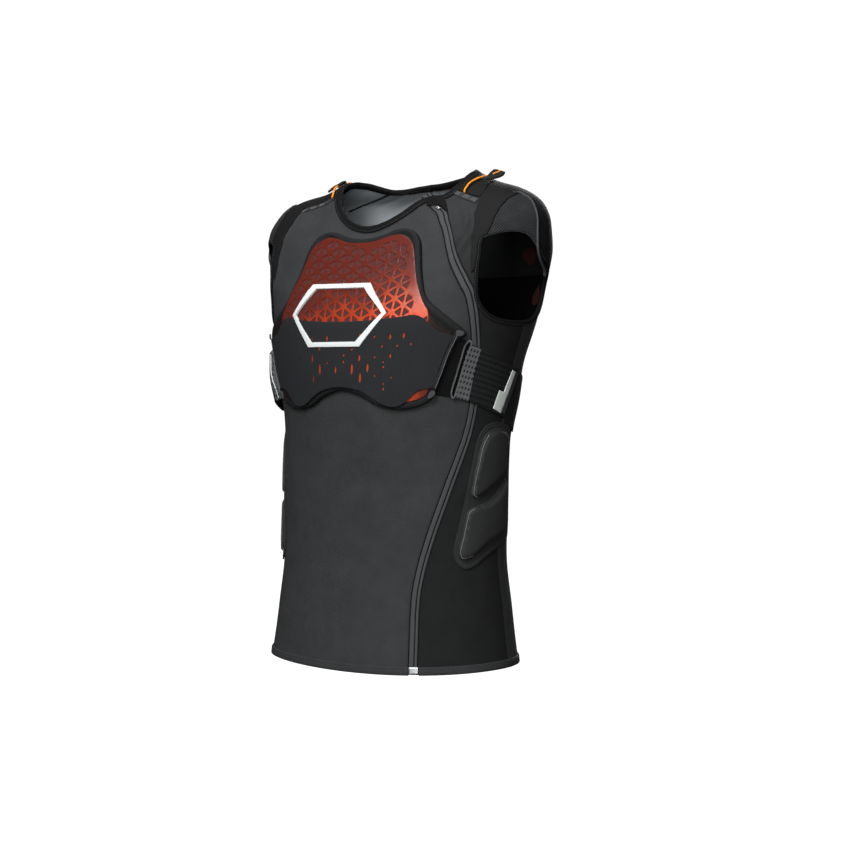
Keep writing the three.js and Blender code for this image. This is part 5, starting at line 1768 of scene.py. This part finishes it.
class VEST_OT_straps(bpy.types.Operator):
    """Makes the side straps: elastic, loop, webbing, tab, end and back strap"""

    bl_idname = "vest.straps"
    bl_label = "Side Straps"

    def execute(self, context):
        s, h = sizes(), heights()
        first = h["first"]
        webbing = np.array(FOLD_ROWS + WEBBING_ROWS)

        def stand_off(points, distance):
            # The wearer's right strap is pulled off the body's side
            around = -points[:, 0]
            return 8 * np.clip((around - 58) / 6, 0, 1) * np.clip((90 - around) / 12, 0, 1)

        for name, side in SIDES:
            guard_side = on_side(guard_end(ELASTIC_GUARD_ROWS, side), side)
            elastic = [offset_path(rows, s.clearance) for rows in (guard_side, FOLD_ROWS)]
            for node_name, rows, low, thickness, finish, slot, edge in (
                ("strap_elastic", np.vstack(elastic), first, s.band, "elastic", "black_binding",
                 0.4),
                ("strap_webbing", webbing, first, s.webbing, "webbing", "webbing", 0.6),
                ("strap_tab", TAB_ROWS, h["tab_low"], s.tab, "tab", "tab_grey", 0.3),
                ("strap_end", STRAP_END_ROWS, h["tab_low"], s.tab, "body_knit", "charcoal_knit",
                 0.3),
                ("back_strap", BACK_STRAP_ROWS, first, s.band, "back_elastic", "webbing", 0.5),
            ):
                outline = on_side(rows, side)
                bm = sheet(outline, low, low + thickness, 3.5, edge, stand_off, True)
                finish_piece(bm, f"{node_name}_cloth_{name}", finish, [f"{node_name}_{name}"])
            self.details(name, side, h, stand_off)
        return {"FINISHED"}

    def details(self, name, side, h, stand_off):
        """The loop's two twisted strands, the webbing's hem paler with painted light, and the
        stitches.
        """
        loop = on_side(rounded(LOOP_ROWS, 8), side)
        loop = spaced(loop, 0.9, closed=True)
        inward = 1.3 if area(loop) > 0 else -1.3
        middle = h["tab_low"] + 1.25
        section = []
        for k in range(12):
            turn = 2 * math.pi * k / 12
            reach = 0.8 + 0.75 * abs(math.cos(turn)) ** 1.5
            section.append((inward + reach * math.cos(turn), middle + reach * math.sin(turn)))
        bm = ribbon(loop, section, closed=True, twist=7.0)
        finish_piece(bm, f"strap_loop_cord_{name}", "loop_cord",
                     [f"strap_loop_{name}"])
        top = h["first"] + sizes().webbing

        def rolled(points, distance):
            # The webbing comes round the loop and lies down behind it
            start = np.interp(points[:, 1], (0.478, 0.5232, 0.568), (53.4, 55.5, 56.6))
            roll = 2.6 * np.clip(1 - (np.abs(points[:, 0]) - start) / 7.5, 0, 1) ** 1.4
            return roll + stand_off(points, distance)

        bm = sheet(on_side(HEM_ROWS, side), top - 0.2, top + 0.5, 2.5, 0.4, rolled, True)
        finish_piece(bm, f"webbing_hem_painted_light_{name}", "webbing_hem_painted_light")
        if side < 0:
            line = smooth_path([(-61.5, 0.561), (-59.3, 0.517), (-57.0, 0.476)], 6)
            edge = np.vstack([offset_path(line, 0.9), offset_path(line, -0.9)[::-1]])
            bm = sheet(edge, top + 0.6, top + 1.4, 2.5, 0.3, rolled, True)
            finish_piece(bm, "strap_edge_tape_right", "tab")
        rows = [
            (np.array([(91.6, 0.521), (89.2, 0.487), (86.6, 0.452)]), h["tab_low"] + 0.85),
            (np.array([(94.6, 0.520), (91.4, 0.484), (88.0, 0.450)]), h["tab_low"] + 0.85),
        ]
        rows = [(on_side(smooth_path(row, 6), side), height, {}) for row, height in rows]
        stitched(f"strap_stitches_{name}", rows, "thread")


# The base's stitches, in mm from its edge
PAD_SEAM = 4.0


class VEST_OT_side_pads(bpy.types.Operator):
    """Makes the moulded side pads on their stitched bases"""

    bl_idname = "vest.side_pads"
    bl_label = "Side Pads"

    def execute(self, context):
        s, h = sizes(), heights()
        for name, side in SIDES:
            base = on_side(rounded(PAD_BASE_ROWS, 3), side)
            top = h["first"] + s.pad_base
            rise = s.pad_left if side > 0 else s.pad_right
            bm = sheet(base, h["first"], top, 3.5, 0.7)
            finish_piece(bm, f"pad_base_cloth_{name}", "pad_cloth",
                         [f"pad_base_{name}"])
            stitched(f"pad_stitches_{name}", [(along_outline(base, PAD_SEAM), top + 0.05, {})],
                     "thread")
            for node_name, rows in (("pad_upper", PAD_UPPER_ROWS), ("pad_lower", PAD_LOWER_ROWS)):

                def crown(points, distance):
                    # A narrow flange, wider behind, then a plateau with a quick round shoulder
                    behind = np.clip((np.abs(points[:, 0]) - 66) / 14, 0, 1)
                    beyond = distance - 1.0 - 3.0 * behind
                    shoulder = np.clip(beyond / 2.5, 0, 1)
                    plateau = rise * np.sqrt(1 - (1 - shoulder) ** 2)
                    return plateau + 0.9 * np.clip((beyond - 2.5) / 20, 0, 1)

                low = h["pad_low"]
                bm = sheet(on_side(rounded(rows, 3), side), low, low + 1.4, 2.5, 0.7, crown)
                piece = finish_piece(bm, f"{node_name}_moulding_{name}", "pad",
                                     [f"{node_name}_{name}"])
            # The welded edges stand up as fine pale lines, painted highlights along the mouldings'
            # edges
            for part, rows in (("upper", PAD_UPPER_ROWS[2:8]), ("lower", PAD_LOWER_ROWS[3:10])):
                path = on_side(smooth_path(rows, 6), side)
                section = round_section(0.4, h["pad_low"] + 1.4 + (3.4 if side > 0 else 0.8), 6,
                                        1.9 * side)
                bm = ribbon(path, section)
                finish_piece(bm, f"pad_weld_{part}_{name}", "weld")
        return {"FINISHED"}


# The camera: its place in metres, its turn and fall in degrees, its lens and sensor in mm
CAMERA_PLACE = (1.75677, -2.47722, -0.260)
CAMERA_TURN, CAMERA_FALL, CAMERA_LENS, CAMERA_SENSOR = 35, 0.8948, 94.9, 36
# Lights: name, place, aim, size in metres and power in watts
LIGHTS = (
    ("key_light", (0.55, -2.6, 1.6), (0, 0, -0.25), 1.3, 84),
    ("front_light", (1.35, -2.6, 0.1), (0, 0, -0.2), 1.2, 28),
    ("side_light", (2.7, -1.5, 0.95), (0, 0, -0.3), 1.2, 6),
    ("fill_light", (-2.6, -1.8, 0.5), (0, 0, -0.3), 1.6, 2),
    ("top_light", (-0.2, -0.4, 2.3), (0, 0, -0.2), 1.2, 30),
    ("back_light", (-0.9, 2.8, 0.9), (0, 0, -0.3), 1.6, 60),
)
# Strength of the white surroundings as light and as seen
SKY_LIGHT, SKY_SEEN = 0.09, 1.05
FLOOR_LEVEL, FLOOR_RADIUS = -1.4, 14


class VEST_OT_stage(bpy.types.Operator):
    """Makes the camera, the lights, the plain floor and the white surroundings"""

    bl_idname = "vest.stage"
    bl_label = "Stage"

    def execute(self, context):
        scene = context.scene
        turn, fall = math.radians(CAMERA_TURN), math.radians(CAMERA_FALL)
        lens = bpy.data.cameras.new("Camera")
        lens.lens, lens.sensor_width = CAMERA_LENS, CAMERA_SENSOR
        lens.clip_end = 100
        camera = bpy.data.objects.new("Camera", lens)
        camera.location = CAMERA_PLACE
        level = math.cos(fall)
        forward = Vector((-math.sin(turn) * level, math.cos(turn) * level, -math.sin(fall)))
        camera.rotation_euler = forward.to_track_quat("-Z", "Y").to_euler()
        scene.collection.objects.link(camera)
        scene.camera = camera
        for name, place, aim, size, power in LIGHTS:
            lamp = bpy.data.lights.new(name, "AREA")
            lamp.shape, lamp.size, lamp.energy = "SQUARE", size, power
            light = bpy.data.objects.new(name, lamp)
            light.location = place
            ray = Vector(aim) - Vector(place)
            light.rotation_euler = ray.to_track_quat("-Z", "Y").to_euler()
            scene.collection.objects.link(light)
        bm = bmesh.new()
        bmesh.ops.create_circle(bm, cap_ends=True, segments=64, radius=FLOOR_RADIUS)
        bmesh.ops.translate(bm, verts=bm.verts, vec=(0, 0, FLOOR_LEVEL))
        mesh = bpy.data.meshes.new("floor")
        bm.to_mesh(mesh)
        bm.free()
        floor = bpy.data.objects.new("floor", mesh)
        scene.collection.objects.link(floor)
        # Painted floor: plain, pale and matt
        pale = rgba((0.9, 0.9, 0.9))
        paint, tree, shader = start("Matt Floor Paint", Base_Color=pale, Roughness=0.9)
        shader.inputs["Emission Color"].default_value = (1, 1, 1, 1)
        shader.inputs["Emission Strength"].default_value = 1.1
        mesh.materials.append(paint)
        floor.visible_diffuse = False
        floor.visible_glossy = False
        world = bpy.data.worlds.new("Studio")
        world.use_nodes = True
        tree = world.node_tree
        background = tree.nodes["Background"]
        seen = add(tree, "ShaderNodeLightPath")
        strength = add(
            tree,
            "ShaderNodeMapRange",
            links={"Value": seen.outputs["Is Camera Ray"]},
            values={"To Min": SKY_LIGHT, "To Max": SKY_SEEN},
        )
        background.inputs["Color"].default_value = (1, 1, 1, 1)
        tree.links.new(strength.outputs["Result"], background.inputs["Strength"])
        scene.world = world
        scene.view_settings.view_transform = "Standard"
        return {"FINISHED"}


class VEST_PT_panel(bpy.types.Panel):
    """Lists the vest's pieces, sizes and colours"""

    bl_idname = "VEST_PT_panel"
    bl_label = "Protective Vest"
    bl_space_type = "VIEW_3D"
    bl_region_type = "UI"
    bl_category = "Vest"

    def draw(self, context):
        layout = self.layout
        for group in (context.scene.vest_sizes, context.scene.vest_colours):
            for name in group.__annotations__:
                layout.prop(group, name)
        for operator in OPERATORS:
            layout.operator(operator.bl_idname)


OPERATORS = (
    VEST_OT_panels,
    VEST_OT_lining,
    VEST_OT_bindings,
    VEST_OT_shoulders,
    VEST_OT_cords,
    VEST_OT_zip,
    VEST_OT_chest_guard,
    VEST_OT_badge,
    VEST_OT_straps,
    VEST_OT_side_pads,
    VEST_OT_stage,
)
CLASSES = (VestSizes, VestColours, *OPERATORS, VEST_PT_panel)


def register():
    for one in CLASSES:
        bpy.utils.register_class(one)
    bpy.types.Scene.vest_sizes = bpy.props.PointerProperty(type=VestSizes)
    bpy.types.Scene.vest_colours = bpy.props.PointerProperty(type=VestColours)


def unregister():
    del bpy.types.Scene.vest_colours
    del bpy.types.Scene.vest_sizes
    for one in reversed(CLASSES):
        bpy.utils.unregister_class(one)


def main():
    register()
    bpy.ops.vest.stage()
    bpy.ops.vest.panels()
    bpy.ops.vest.lining()
    bpy.ops.vest.bindings()
    bpy.ops.vest.shoulders()
    bpy.ops.vest.cords()
    bpy.ops.vest.zip()
    bpy.ops.vest.chest_guard()
    bpy.ops.vest.badge()
    bpy.ops.vest.straps()
    bpy.ops.vest.side_pads()


if __name__ == "__main__":
    main()
